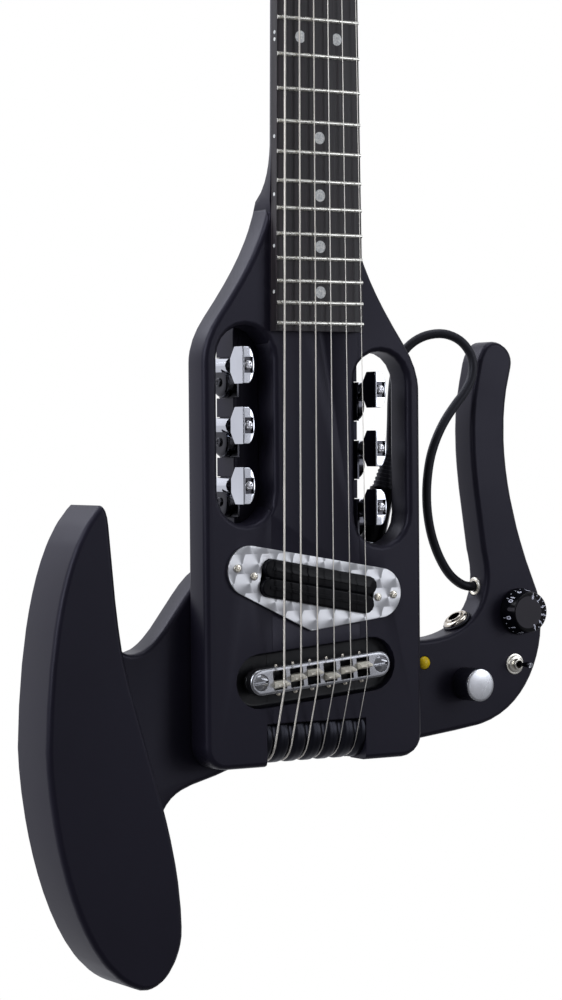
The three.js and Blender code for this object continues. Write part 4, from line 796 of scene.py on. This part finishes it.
def make_plug():
    plug = refine("cable_plug", RUBBER, 50)
    without(plug, lambda x, y, z: along_plug(x, z) > RELIEF_START + 0.2)
    paint(plug, GLOSS, lambda x, y, z: 3 < along_plug(x, z) < RELIEF_START - 0.2)
    paint(plug, NICKEL, lambda x, y, z: along_plug(x, z) <= 3)
    return plug


def make_relief(body):
    """The plug's strain relief: ribs that get smaller towards the cable."""
    thick, thin = RIB_RADII
    profile = [(0, RELIEF_START), (thick, RELIEF_START)]
    for rib in range(RIB_COUNT):
        radius = mix(thick, thin, rib / (RIB_COUNT - 1))
        along = RELIEF_START + RIB_PITCH * rib
        profile += [(radius, along + 0.3), (radius, along + 1.1)]
        profile += [(radius - 0.55, along + 1.3), (radius - 0.6, along + 2.0)]
    profile += [(CABLE_DIAMETER / 2, RELIEF_END), (0, RELIEF_END)]
    part = turned(profile, LINK_AXIS, LINK_SEAT, 28)
    return add_piece("plug_relief", part, RUBBER, body)


def make_cable_ring():
    ring = [(2.8, -1.3), (3.2, -1.7), (3.7, -1.8), (3.85, -1.2), (4.25, -1.2)]
    ring += [(4.4, -1.7), (5.0, -1.3), (5.2, -0.8), (5.1, -0.3)]
    barrel = [(3.6, -0.3), (3.6, 8.2), (2.8, 8.2), (2.8, -1.3)]
    part = turned([*ring, *barrel], (1, 0, 0), BUSH_PLACE)
    return add_piece("cable_ring", part, BRIGHT_NICKEL, "lap_rest", ["cable_bush"], 50)


def make_cable():
    plug_end = Vector(LINK_SEAT) + LINK_AXIS * LINK_REACH
    bush = Vector(BUSH_PLACE)
    first = [plug_end, plug_end + LINK_AXIS * 3.5]
    last = [bush - Vector((2, 0, 0)), bush + Vector((3, 0, 0))]
    line = list(reversed(centripetal([*first, *CABLE_ROUTE, *last], 4)))
    part = tube(line, CABLE_DIAMETER / 2, 18)
    cable = add_piece("link_cable", part, RUBBER, None, ["cable"], 60)
    plug = make_plug()
    relief = make_relief(plug["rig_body"])
    ring = make_cable_ring()
    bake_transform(cable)


# Neck, fingerboard and headpiece


def board_arc(half, height, rise, steps=12):
    points = []
    for i in range(steps + 1):
        share = 2 * i / steps - 1
        points.append((half * share, BOARD_CROWN * share**2 - BOARD_THICKNESS - height, rise))
    return points


def board_ring(rise):
    half = neck_half(rise)
    return [*board_arc(half, 0, rise), (half, BOARD_FOOT, rise), (-half, BOARD_FOOT, rise)]


def make_fingerboard():
    frets = [fret_rise(number) for number in range(FRET_COUNT, 0, -1)]
    stations = [BOARD_END + BOARD_SHRINK, *frets, SCALE_LENGTH - BOARD_SHRINK]
    part = skin([board_ring(rise) for rise in stations])
    add_piece("fingerboard", part, WOOD, "guitar_body", ["fretboard"])


def make_frets():
    """Frets with a round crown, given as the place along the neck and the share of the height."""
    section = [(-1.15, -0.1), (-1.0, 0.45), (-0.6, 0.85), (0, 1), (0.6, 0.85), (1.0, 0.45), (1.15, -0.1)]
    frets = []
    for number in range(1, FRET_COUNT + 1):
        rise = fret_rise(number)
        half = neck_half(rise) - 0.1
        rows = [board_arc(half, up * FRET_HEIGHT, rise + along) for along, up in section]
        frets.append(skin([[row[i] for row in rows] for i in range(len(rows[0]))]))
    add_piece("frets", combined(frets), FRET_METAL, "guitar_body", angle=50)


def make_dots():
    face = [(0, 0), (DOT_RADIUS, 0), (DOT_RADIUS, 0.5), (3.0, 0.56), (0, 0.56)]
    side = [(0, 0), (SIDE_DOT_RADIUS, 0), (SIDE_DOT_RADIUS, 0.3), (0, 0.3)]
    dots = []
    for number in [*SINGLE_DOTS, DOUBLE_DOT]:
        signs = [-1, 1] if number == DOUBLE_DOT else [0]
        rise = (fret_rise(number) + fret_rise(number - 1)) / 2
        for sign in signs:
            x = sign * DOT_SPREAD
            crown = BOARD_CROWN * (x / neck_half(rise)) ** 2 - BOARD_THICKNESS
            dots.append(turned(face, FRONT, (x, crown + 0.5, rise), 32))
        for sign in signs:
            place = (0.23 - neck_half(rise), -BOARD_THICKNESS / 2, rise + sign * SIDE_DOT_SPREAD)
            dots.append(turned(side, (-1, 0, 0), place, 16))
    add_piece("position_dots", combined(dots), PEARL, "guitar_body")


def make_head():
    refine("headpiece", NICKEL)
    places = [(x, HEAD_FACE, SCALE_LENGTH + HEAD_SCREW_RISE) for x in HEAD_SCREWS]
    part = screws(places, FRONT, 2.1, 1.2)
    add_piece("headpiece_screws", part, STEEL, "guitar_body")


# Body


def in_recess(x, y, z):
    """Inside the bridge's recess, which leans as the bridge does."""
    half_length, half_width = RECESS_HALF
    top, floor = RECESS_DEPTHS
    middle = x * math.tan(math.radians(BRIDGE_TILT)) - BRIDGE_DROP
    return top < y < floor and abs(x) < half_length and abs(z - middle) < half_width


def narrowed(wide, rise, start, length):
    """A half width that is straight up to a start, then curves into the heel."""
    share = min(max((rise - start) / length, 0), 1)
    return mix(wide, HEEL_HALF, share * share * (3 - 2 * share))


def block_side(rise):
    return narrowed(BLOCK_HALF, rise, HEEL_START, HEEL_LENGTH)


def cheek_side(rise):
    return narrowed(BLOCK_HALF + CHEEK_GAIN, rise, CHEEK_START, CHEEK_LENGTH)


def long_edge(side, edge, into):
    """A crisp strip along one edge of the rear block. into is the way from the edge's face inwards."""
    rises = [BLOCK_FOOT, *[HEEL_START + HEEL_LENGTH * i / 12 for i in range(12)]]
    corner = [(-3.1, 0), (-0.6, 0), (-0.2, 0.15), (-0.05, 0.5), (0, 0.9), (0, 3.1)]
    rings = []
    for rise in rises:
        half = block_side(rise)
        rings.append([(side * (half + a), edge + into * b, rise) for a, b in corner])
    return skin(rings)


def cheek(side, low, high):
    """A narrow strip that brings the rear block to its full width from one height to another."""
    rings = []
    for i in range(13):
        rise = mix(low, high, i / 12)
        inner = block_side(rise) - 0.7
        outer = cheek_side(rise)
        section = [(inner, 0), (outer - 0.4, 0), (outer, 0.4)]
        section += [(outer, CHEEK_DEPTH - 0.5), (outer - 0.5, CHEEK_DEPTH), (inner, CHEEK_DEPTH)]
        rings.append([(side * a, BLOCK_FRONT + b, rise) for a, b in section])
    return skin(rings)


def make_block_edges():
    """The rear block's long edges, and cheeks between the tuners."""
    strips = []
    for side in (-1, 1):
        strips.append(long_edge(side, BLOCK_FRONT, 1))
        strips.append(long_edge(side, BODY_DEPTH, -1))
    for side, foot in ((-1, CHEEK_FOOT_BASS), (1, CHEEK_FOOT_TREBLE)):
        tuners = sorted(tuner_place(n)[1] for n in NUMBERS if tuner_place(n)[0] == side)
        lows = [foot, *[rise + CHEEK_GAP_ABOVE for rise in tuners]]
        highs = [*[rise - CHEEK_GAP_BELOW for rise in tuners], CHEEK_TOP]
        strips += [cheek(side, low, high) for low, high in zip(lows, highs)]
    add_piece("block_edges", combined(strips), SATIN, "guitar_body", angle=30)


def make_body():
    for node in ("neck_through", "left_wing", "right_wing"):
        paint(refine(node, SATIN, 50), RESIN, in_recess)
    make_block_edges()
    refine("truss_rod", STEEL)


def make_rests():
    """Both rests, and the cover of the controls, set deep enough to keep its screws flush."""
    refine("arm_rest", SATIN, 50)
    refine("lap_rest", SATIN, 50)
    cover = refine("lap_rest_cover", PLASTIC)
    for vertex in cover.data.vertices:
        vertex.co.y = min(vertex.co.y, -COVER_SINK * MM)
    places = [(x, BODY_DEPTH - COVER_SINK, z) for x, z in COVER_SCREWS]
    part = screws(places, (0, 1, 0), 2.2, COVER_SINK, 20)
    add_piece("cover_screws", part, STEEL, "lap_rest")


# Strings, rollers and tuners


def make_strings():
    for number in NUMBERS:
        refine(f"string_{number}", WOUND if number <= 3 else PLAIN, 70)


def make_rollers():
    half = (ROLLER_PITCH - ROLLER_SEAM) / 2
    groove = [(0, 3.6), (0.04, 3.0), (0.18, 2.5), (0.45, 2.05), (0.85, 1.65), (1.3, 1.3)]
    flank = [(ROLLER_BORE, half), (ROLLER_RADIUS, half)]
    flank += [(ROLLER_RADIUS - sink, along) for sink, along in [*groove, (ROLLER_GROOVE, 0.8)]]
    near = [(radius, -along) for radius, along in flank]
    profile = [*near, *reversed(flank), near[0]]
    for number in NUMBERS:
        place = ((number - 3.5) * ROLLER_PITCH, ROLLER_DEPTH, -ROLLER_DROP)
        part = turned(profile, (1, 0, 0), place, 72)
        body = f"roller_{number}"
        add_piece(f"string_roller_{number}", part, ROLLER, body, [body], 50)
    refine("roller_axle", STEEL)


def key_ring(y, reach, inset):
    """The D-shaped outline of a key at a depth, with the flat side towards -X."""
    side, half = BUTTON_HALF
    high = reach * half - inset
    points = []
    for i in range(25):
        z = high * math.sin(math.pi * (i / 24 - 0.5))
        bulge = mix(-side, side, mix(0.36, 1, math.sqrt(max(1 - (z / half) ** 2, 0))))
        points.append((bulge - inset, y, z))
    right = points[-1][0]
    left = -side + inset
    points += [(mix(right, left, i / 4), y, high) for i in range(1, 4)]
    points += [(left, y, mix(high, -high, i / 14)) for i in range(15)]
    points += [(mix(left, right, i / 4), y, -high) for i in range(1, 4)]
    return points


def key_parts():
    """A key with cut corners at the back and small round edges, and the sunk place for its screw."""
    wide, tall, deep = BUTTON_RECESS
    rings = [key_ring(BUTTON_BACK, 0.33, 0.5), key_ring(BUTTON_BACK - 0.3, 0.37, 0)]
    for share, reach in ((0.34, 0.985), (0.38, 1)):
        rings.append(key_ring(mix(BUTTON_BACK, BUTTON_FRONT, share), reach, 0))
    for lift, inset in ((0.45, 0), (0.13, 0.13), (0, 0.45)):
        rings.append(key_ring(BUTTON_FRONT + lift, 1, inset))
    edge = [(np.clip(x, -wide, wide), np.clip(z, -tall, tall)) for x, y, z in rings[-1]]

    def sunk(y, share):
        return [(float(a) * share, y, float(b) * share) for a, b in edge]

    outside = skin(rings, caps=False)
    front = skin([rings[-1], sunk(BUTTON_FRONT, 1)], caps=False)
    back = ([Vector(p) for p in rings[0]], [tuple(reversed(range(len(rings[0]))))])
    pocket = [sunk(BUTTON_FRONT, 1), sunk(BUTTON_FRONT + deep, 0.97), sunk(BUTTON_FRONT + deep, 0)]
    return combined([outside, front, back]), skin(pocket, caps=False)


def make_housing(number, side, rise):
    """A tuner's housing, with a finer round cover over its worm wheel. The cover and the housing's base and
    front faces are in a darker chrome, which is painted shade.
    """
    housing = refine(f"tuner_housing_{number}", CHROME)

    def on_lobe(x, y, z):
        outwards = side * x - BUTTON_OFFSET
        return z < rise - 0.4 and outwards > -2.8 and math.hypot(outwards, z - rise) > 4.3

    def in_painted_shade(x, y, z):
        return y < 16 or side * x - BUTTON_OFFSET < -2.2 and z < rise - 4

    without(housing, on_lobe)
    # Painted shade: the housing's front faces and lower outer faces take the darker chrome
    paint(housing, PAINTED_SHADE_CHROME, in_painted_shade)
    profile = [(LOBE_RADIUS, -4), (LOBE_RADIUS, 0.6), (7.65, 1.2), (7.35, 1.75), (6.8, 2.2), (6.0, 2.45)]
    profile += [(5, LOBE_FACE), (0, LOBE_FACE)]
    place = (side * BUTTON_OFFSET, POST_DEPTH, rise - POST_DROP)
    cover = turned(profile, (side, 0, 0), place, 56)
    add_piece(f"gear_cover_{number}", cover, PAINTED_SHADE_CHROME, "guitar_body", angle=50)


def make_key(number, side, rise, parts):
    """A finer key in front of its own shaft, with its pocket and its screw. The pocket is in the darker
    chrome, as painted shade in the recess round the screw.
    """
    name = f"tuner_button_{number}"
    x = side * BUTTON_OFFSET
    key, pocket = [moved(part, Matrix.Translation((x, 0, rise))) for part in parts]
    screw = screws([(x, BUTTON_FRONT + 0.65, rise)], FRONT, 2.45, 1.1, 45)
    without(refine(name, CHROME, 38), lambda x, y, z: y < BUTTON_BACK - 0.9)
    add_piece(f"key_{number}", key, CHROME, name, angle=28)
    add_piece(f"key_pocket_{number}", pocket, PAINTED_SHADE_CHROME, name)
    add_piece(f"key_screw_{number}", screw, SCREW_STEEL, name)


def make_post(number, side, rise):
    name = f"tuner_post_{number}"
    post = refine(name, BRASS, 30)
    # Painted shade: the post's outer end, and the gear screw below, take the darker chrome
    paint(post, PAINTED_SHADE_CHROME, lambda x, y, z: side * x > BUTTON_OFFSET + 1.4)
    end = (side * (BUTTON_OFFSET + 2.85), POST_DEPTH, rise - POST_DROP)
    screw = screws([end], (side, 0, 0), 2.3, 0.8)
    add_piece(f"gear_screw_{number}", screw, PAINTED_SHADE_CHROME, name)


def make_tuners():
    parts = key_parts()
    for number in NUMBERS:
        side, rise = tuner_place(number)
        make_housing(number, side, rise)
        make_key(number, side, rise, parts)
        make_post(number, side, rise)


# Pickup and bridge


def pickup_opening():
    """The circles at the corners of the opening round the pickup."""
    turn = math.radians(-PICKUP_TILT)
    long, wide = PICKUP_HALF
    radius = wide / 2
    corners = []
    for a, b in ((1, 1), (-1, 1), (-1, -1), (1, -1)):
        along = a * (long + 0.1 - radius)
        across = b * (wide + 0.1 - radius)
        x = along * math.cos(turn) - across * math.sin(turn)
        z = along * math.sin(turn) + across * math.cos(turn)
        corners.append((x, PICKUP_RISE + z, radius))
    return corners


def make_plate():
    """The swirled plate, with its opening round the pickup and a small round edge."""
    curve = bpy.data.curves.new("plate", "CURVE")
    curve.dimensions = "2D"
    curve.fill_mode = "BOTH"
    curve.extrude = (PLATE_BACK - PLATE_FACE) / 2 - PLATE_EDGE
    curve.bevel_depth = PLATE_EDGE
    curve.bevel_resolution = 1
    curve.offset = -PLATE_EDGE
    for outline in (hull(PLATE_ROUNDS), hull(pickup_opening())):
        line = curve.splines.new("POLY")
        line.points.add(len(outline) - 1)
        for point, (x, z) in zip(line.points, outline):
            point.co = (x, z, 0, 1)
        line.use_cyclic_u = True
    upright = Matrix.Rotation(math.radians(90), 4, "X")
    stand = Matrix.Translation((0, (PLATE_FACE + PLATE_BACK) / 2, 0)) @ upright
    part = moved(curve_part(curve), stand)
    add_piece("swirled_plate", part, SWIRLED, "guitar_body", ["pickup_plate"])


def make_pickup():
    refine("pickup", GLOSS, 35)
    part = screws([(x, PLATE_FACE, z) for x, z in PLATE_SCREWS], FRONT, 2.1, 1.0, 30)
    add_piece("pickup_screws", part, SCREW_NICKEL, "guitar_body")


def make_bridge():
    """The bridge, its posts and saddles, and a length screw through each saddle."""
    for node in ("bridge", "bridge_post_bass", "bridge_post_treble"):
        refine(node, BRIDGE_METAL)
    head = [(0, 0), (1.5, 0), (1.5, 0.9), (1.2, 1.3), (0, 1.4)]
    tip = [(0, 0), (0.8, 0), (0.8, 0.8), (0.5, 1.1), (0, 1.1)]
    lean = math.radians(BRIDGE_TILT)
    turn = Matrix.Rotation(-lean, 4, "Y")
    axis = turn @ Vector((0, 0, 1))
    drop = Vector((0, 0, -BRIDGE_DROP))
    parts = []
    for number in NUMBERS:
        refine(f"saddle_{number}", SADDLE)
        x = mix(-SPREAD_AT_BRIDGE / 2, SPREAD_AT_BRIDGE / 2, (number - 1) / 5) / math.cos(lean)
        low, high = [turn @ Vector((x, BRIDGE_FRONT + 3.1, s * BRIDGE_WIDTH / 2)) + drop for s in (-1, 1)]
        parts += [turned(head, -axis, low, 20), turned(tip, axis, high, 16)]
    add_piece("length_screws", combined(parts), NICKEL, "bridge")


# Controls


def digit(text, size):
    curve = bpy.data.curves.new("digit", "FONT")
    curve.body = text
    curve.size = size
    curve.align_x = "CENTER"
    curve.align_y = "CENTER"
    curve.extrude = 0.02
    curve.resolution_u = 3
    curve.offset = 0.02 * size
    return curve_part(curve)


def wall_radius(rise):
    """The radius of the volume knob's sloping wall at a height over its foot."""
    return mix(12.55, 11.05, (rise - 1.5) / 8.8)


def dial_ways(degrees):
    """The ways outwards and sideways at an angle round a knob."""
    turn = math.radians(degrees)
    out = Vector((math.cos(turn), 0, math.sin(turn)))
    return out, out.cross(Vector((0, 1, 0)))


def pointer():
    """The bar down the knob's wall that shows where it is set."""
    outline = [(-0.95, 6.2), (-0.7, 5.5), (0, 5.2), (0.7, 5.5), (0.95, 6.2)]
    outline += [(0.95, VOLUME_HEIGHT - 0.5), (-0.95, VOLUME_HEIGHT - 0.5)]
    out, around = dial_ways(POINTER_TURN)
    rings = []
    for proud in (-0.6, 0.12):
        rings.append([around * a + out * (wall_radius(b) + proud) + Vector((0, -b, 0)) for a, b in outline])
    return skin(rings)


def dial_marks():
    """Ticks and plain numbers down the wall, and on the top where the cap leaves room for them."""
    x, z = VOLUME_PLACE
    tick = ([(-0.2, -0.65, 0), (0.2, -0.65, 0), (0.2, 0.65, 0), (-0.2, 0.65, 0)], [(0, 1, 2, 3)])
    marks = []
    for step in range(2 * DIAL_TOP + 1):
        out, around = dial_ways(DIAL_START + DIAL_STEP * step / 2)
        up = (Vector(FRONT) - out * 0.17).normalized()
        on_wall = Matrix((around, up, around.cross(up))).transposed().to_4x4()
        on_top = Matrix((around, -out, Vector(FRONT))).transposed().to_4x4()
        numbered = step % 2 == 0
        beside_cap = 6 <= step <= 16
        size = Matrix.Diagonal((1, 1.0 if numbered else 0.6, 1, 1))

        def mark(part, way, rise, reach):
            foot = Vector((x, KNOB_BASE - rise, z)) + out * reach
            marks.append(moved(part, Matrix.Translation(foot) @ way))

        mark(tick, on_wall @ size, 2.9, wall_radius(2.9) + 0.05)
        if beside_cap:
            mark(tick, on_top @ size, VOLUME_HEIGHT + 0.12, 9.9)
        if numbered:
            mark(digit(str(step // 2), 4.5), on_wall, 5.8, wall_radius(5.8) - 0.02)
        if numbered and beside_cap:
            mark(digit(str(step // 2), 3.0), on_top, VOLUME_HEIGHT + 0.12, 8.3)
    return combined(marks)


def make_volume_knob():
    x, z = VOLUME_PLACE
    place = (x, KNOB_BASE, z)
    top = VOLUME_HEIGHT
    foot = [*KNOB_SHAFT, (12.75, 0), (12.8, 0.2), (12.8, 1.1), (12.55, 1.5)]
    rim = [(11.05, top - 0.7), (10.9, top - 0.25), (10.6, top), (0, top)]
    part = turned([*foot, *rim], FRONT, place, 144)
    add_piece("volume_dial", part, GLOSS, "volume_knob", ["volume_knob"])
    disc = [(0, top - 0.1), (8.8, top - 0.1), (8.8, top + 0.04), (0, top + 0.06)]
    cap = turned(disc, FRONT, (x - 1.6, KNOB_BASE, z), 96)
    part = combined([cap, moved(pointer(), Matrix.Translation(place))])
    add_piece("volume_cap", part, KNOB_TOP, "volume_knob")
    add_piece("dial_numbers", dial_marks(), INK, "volume_knob")


def knurl(angle, along):
    """Crossed grooves round the grip, which end short of its edges."""
    if not 1 < along < 13:
        return 0
    waves = math.sin(KNURL_COUNT * angle + 2 * along) * math.sin(KNURL_COUNT * angle - 2 * along)
    return -KNURL_DEPTH * abs(waves)


def make_mixer_knob():
    x, z = MIXER_PLACE
    place = (x, KNOB_BASE, z)
    grip = [(MIXER_RADIUS, 1 + 12 * i / 34) for i in range(35)]
    profile = [*KNOB_SHAFT, (8.7, 0), (MIXER_RADIUS, 0.5), *grip, (8.6, 13.4), (0, 13.4)]
    part = turned(profile, FRONT, place, 156, knurl)
    add_piece("mixer_grip", part, ROLLER, "mixer_knob", ["mixer_knob"])
    shares = [1 - i / 10 for i in range(11)]
    dome = [(8.3 * share, MIXER_HEIGHT - 0.42 * share**2) for share in shares]
    cap = turned([(0, 13.3), (8.75, 13.3), (8.8, 13.6), (8.7, 14.0), *dome], FRONT, place, 72)
    add_piece("mixer_cap", cap, SATIN_CHROME, "mixer_knob")


def make_toggle_hardware():
    x, z = TOGGLE_PLACE
    washer = [(0, 0.02), (5.6, 0.02), (5.7, 0.15), (5.7, 0.45), (5.55, 0.6), (4.7, 0.6)]
    nut = [(4.6, 0.75), (4.6, 1.5), (4.35, 1.75), (3.2, 1.8)]
    bush = [(3.0, 2.0), (3.0, 4.2), (2.75, 4.45), (2.2, 4.45), (1.95, 4.0), (1.95, 1.0), (0, 1.0)]
    part = turned([*washer, *nut, *bush], FRONT, (x, REST_FRONT, z), 48)
    add_piece("toggle_hardware", part, BRIGHT_NICKEL, "lap_rest", angle=50)


def make_indicator():
    x, z = INDICATOR_PLACE
    dome = [(0, -1), (3.45, -1), (3.5, -0.2), (3.4, 0.3), (3.0, 1.0), (2.2, 1.65), (1.2, 2.0), (0, 2.1)]
    part = turned(dome, FRONT, (x, REST_FRONT, z))
    add_piece("indicator_lens", part, AMBER, "lap_rest", angle=60)


def make_output_jack():
    turn = math.radians(JACK_TILT)
    out = Vector((math.sin(turn), 0, math.cos(turn)))
    inside = [(3.5, 4.1), (3.5, -15.8), (4.7, -15.8), (4.7, 1.5)]
    groove = [(5.7, 3.4), (5.5, 2.8), (5.0, 2.8), (4.8, 3.6)]
    dome = [(7.3, 1.5), (7.4, 2.0), (7.1, 2.7), (6.3, 3.2), *groove, (4.2, 4.2), (3.5, 4.1)]
    part = turned([*inside, *dome], out, JACK_PLACE, 48)
    nut = add_piece("output_jack_nut", part, NICKEL, "lap_rest", ["output_jack"], 50)

    def in_bore(*spot):
        away = Vector(spot) - Vector(JACK_PLACE)
        return (away - out * away.dot(out)).length < 3.7

    # Painted shade: the bore is painted gloss black, as the shade deep inside the hole
    paint(nut, GLOSS, in_bore)
    section = [(4.8, 0.3), (7.9, 0.3), (8.2, 0.6), (8.2, 1.2), (7.9, 1.5), (4.8, 1.5), (4.8, 0.3)]
    gasket = turned(section, out, JACK_PLACE, 48)
    add_piece("output_jack_gasket", gasket, RUBBER, "lap_rest", angle=50)


def near(place, radius, back=math.inf):
    """Chooses the faces round a control's axis that lie in front of a depth."""
    return lambda x, y, z: math.hypot(x - place[0], z - place[1]) < radius and y < back


def make_controls():
    """The controls that keep their solids, without what the finer pieces stand for."""
    board = refine("control_board", BOARD_GREEN)
    without(board, near(TOGGLE_PLACE, 6, REST_FRONT))
    without(board, near(INDICATOR_PLACE, 3.6, REST_FRONT + 0.2))
    paint(board, STEEL, lambda *spot: near(VOLUME_PLACE, 9)(*spot) or near(MIXER_PLACE, 9)(*spot))
    paint(board, NICKEL, near(TOGGLE_PLACE, 6, 22))
    paint(board, AMBER, near(INDICATOR_PLACE, 3.6))
    lever = refine("toggle_lever", GLOSS)
    paint(lever, CHROME, lambda x, y, z: y < REST_FRONT - 11)
    refine("link_jack", CHROME)


# Light: a white studio that is dimmer on the camera's side, with soft lamps
FRONT_PANEL = (0.56, -0.83, 0.02)
WORLD_COLOUR = (0.92, 0.93, 1)
LAMP_COLOUR = (0.9, 0.93, 1)
LAMPS = (
    ("left_softbox", (-1.7, -0.5, 0.7), (1.0, 1.6), 21),
    ("right_softbox", (1.4, -1.6, 0.5), (0.8, 1.4), 9),
    ("top_softbox", (0.1, -0.5, 1.9), (1.4, 0.9), 10),
    ("back_softbox", (-0.9, 1.2, 1.2), (1.0, 1.0), 12),
)


def make_world():
    """Shades the studio by direction. The camera itself sees plain white."""
    world = bpy.data.worlds.new("studio")
    world.use_nodes = True
    bpy.context.scene.world = world
    studio = Nodes(world.node_tree)
    direction = studio.node("TexCoord").outputs["Generated"]
    way = studio.split(direction)
    depth = studio.spread(way["Y"], 0.2, 0.95, -0.5, 0.6)
    side = studio.spread(way["X"], 0.92, 1.0, -0.6, 0.6)
    rise = studio.spread(way["Z"], 0.65, 1.15, -0.8, 0.8)
    toward = studio.node("VectorMath", {0: direction})
    toward.operation = "DOT_PRODUCT"
    toward.inputs[1].default_value = Vector(FRONT_PANEL).normalized()
    panel = studio.spread(toward.outputs["Value"], 0.0, 0.42, 0.94, 0.99)
    level = studio.math("MULTIPLY", studio.math("MULTIPLY", depth, side), rise)
    level = studio.math("ADD", level, panel)
    camera_ray = studio.node("LightPath").outputs["Is Camera Ray"]
    strength = studio.node("Mix", {0: camera_ray, 2: level, 3: 1}).outputs[0]
    background = studio.nodes["Background"]
    studio.set(background, "Strength", strength)
    studio.set(background, "Color", studio.blend(camera_ray, WORLD_COLOUR, (1, 1, 1)))


def make_lamp(name, place, size, energy):
    data = bpy.data.lights.new(name, "AREA")
    data.shape = "RECTANGLE"
    data.size = size[0]
    data.size_y = size[1]
    data.energy = energy
    data.color = LAMP_COLOUR
    lamp = bpy.data.objects.new(name, data)
    lamp.location = place
    lamp.rotation_mode = "QUATERNION"
    lamp.rotation_quaternion = Vector(place).to_track_quat("Z", "Y")
    bpy.context.scene.collection.objects.link(lamp)


make_cable()
make_fingerboard()
make_frets()
make_dots()
make_head()
make_body()
make_rests()
make_strings()
make_rollers()
make_tuners()
make_plate()
make_pickup()
make_bridge()
make_controls()
make_toggle_hardware()
make_indicator()
make_output_jack()
make_volume_knob()
make_mixer_knob()
make_world()
for lamp in LAMPS:
    make_lamp(*lamp)
bpy.context.scene.view_settings.view_transform = "Standard"
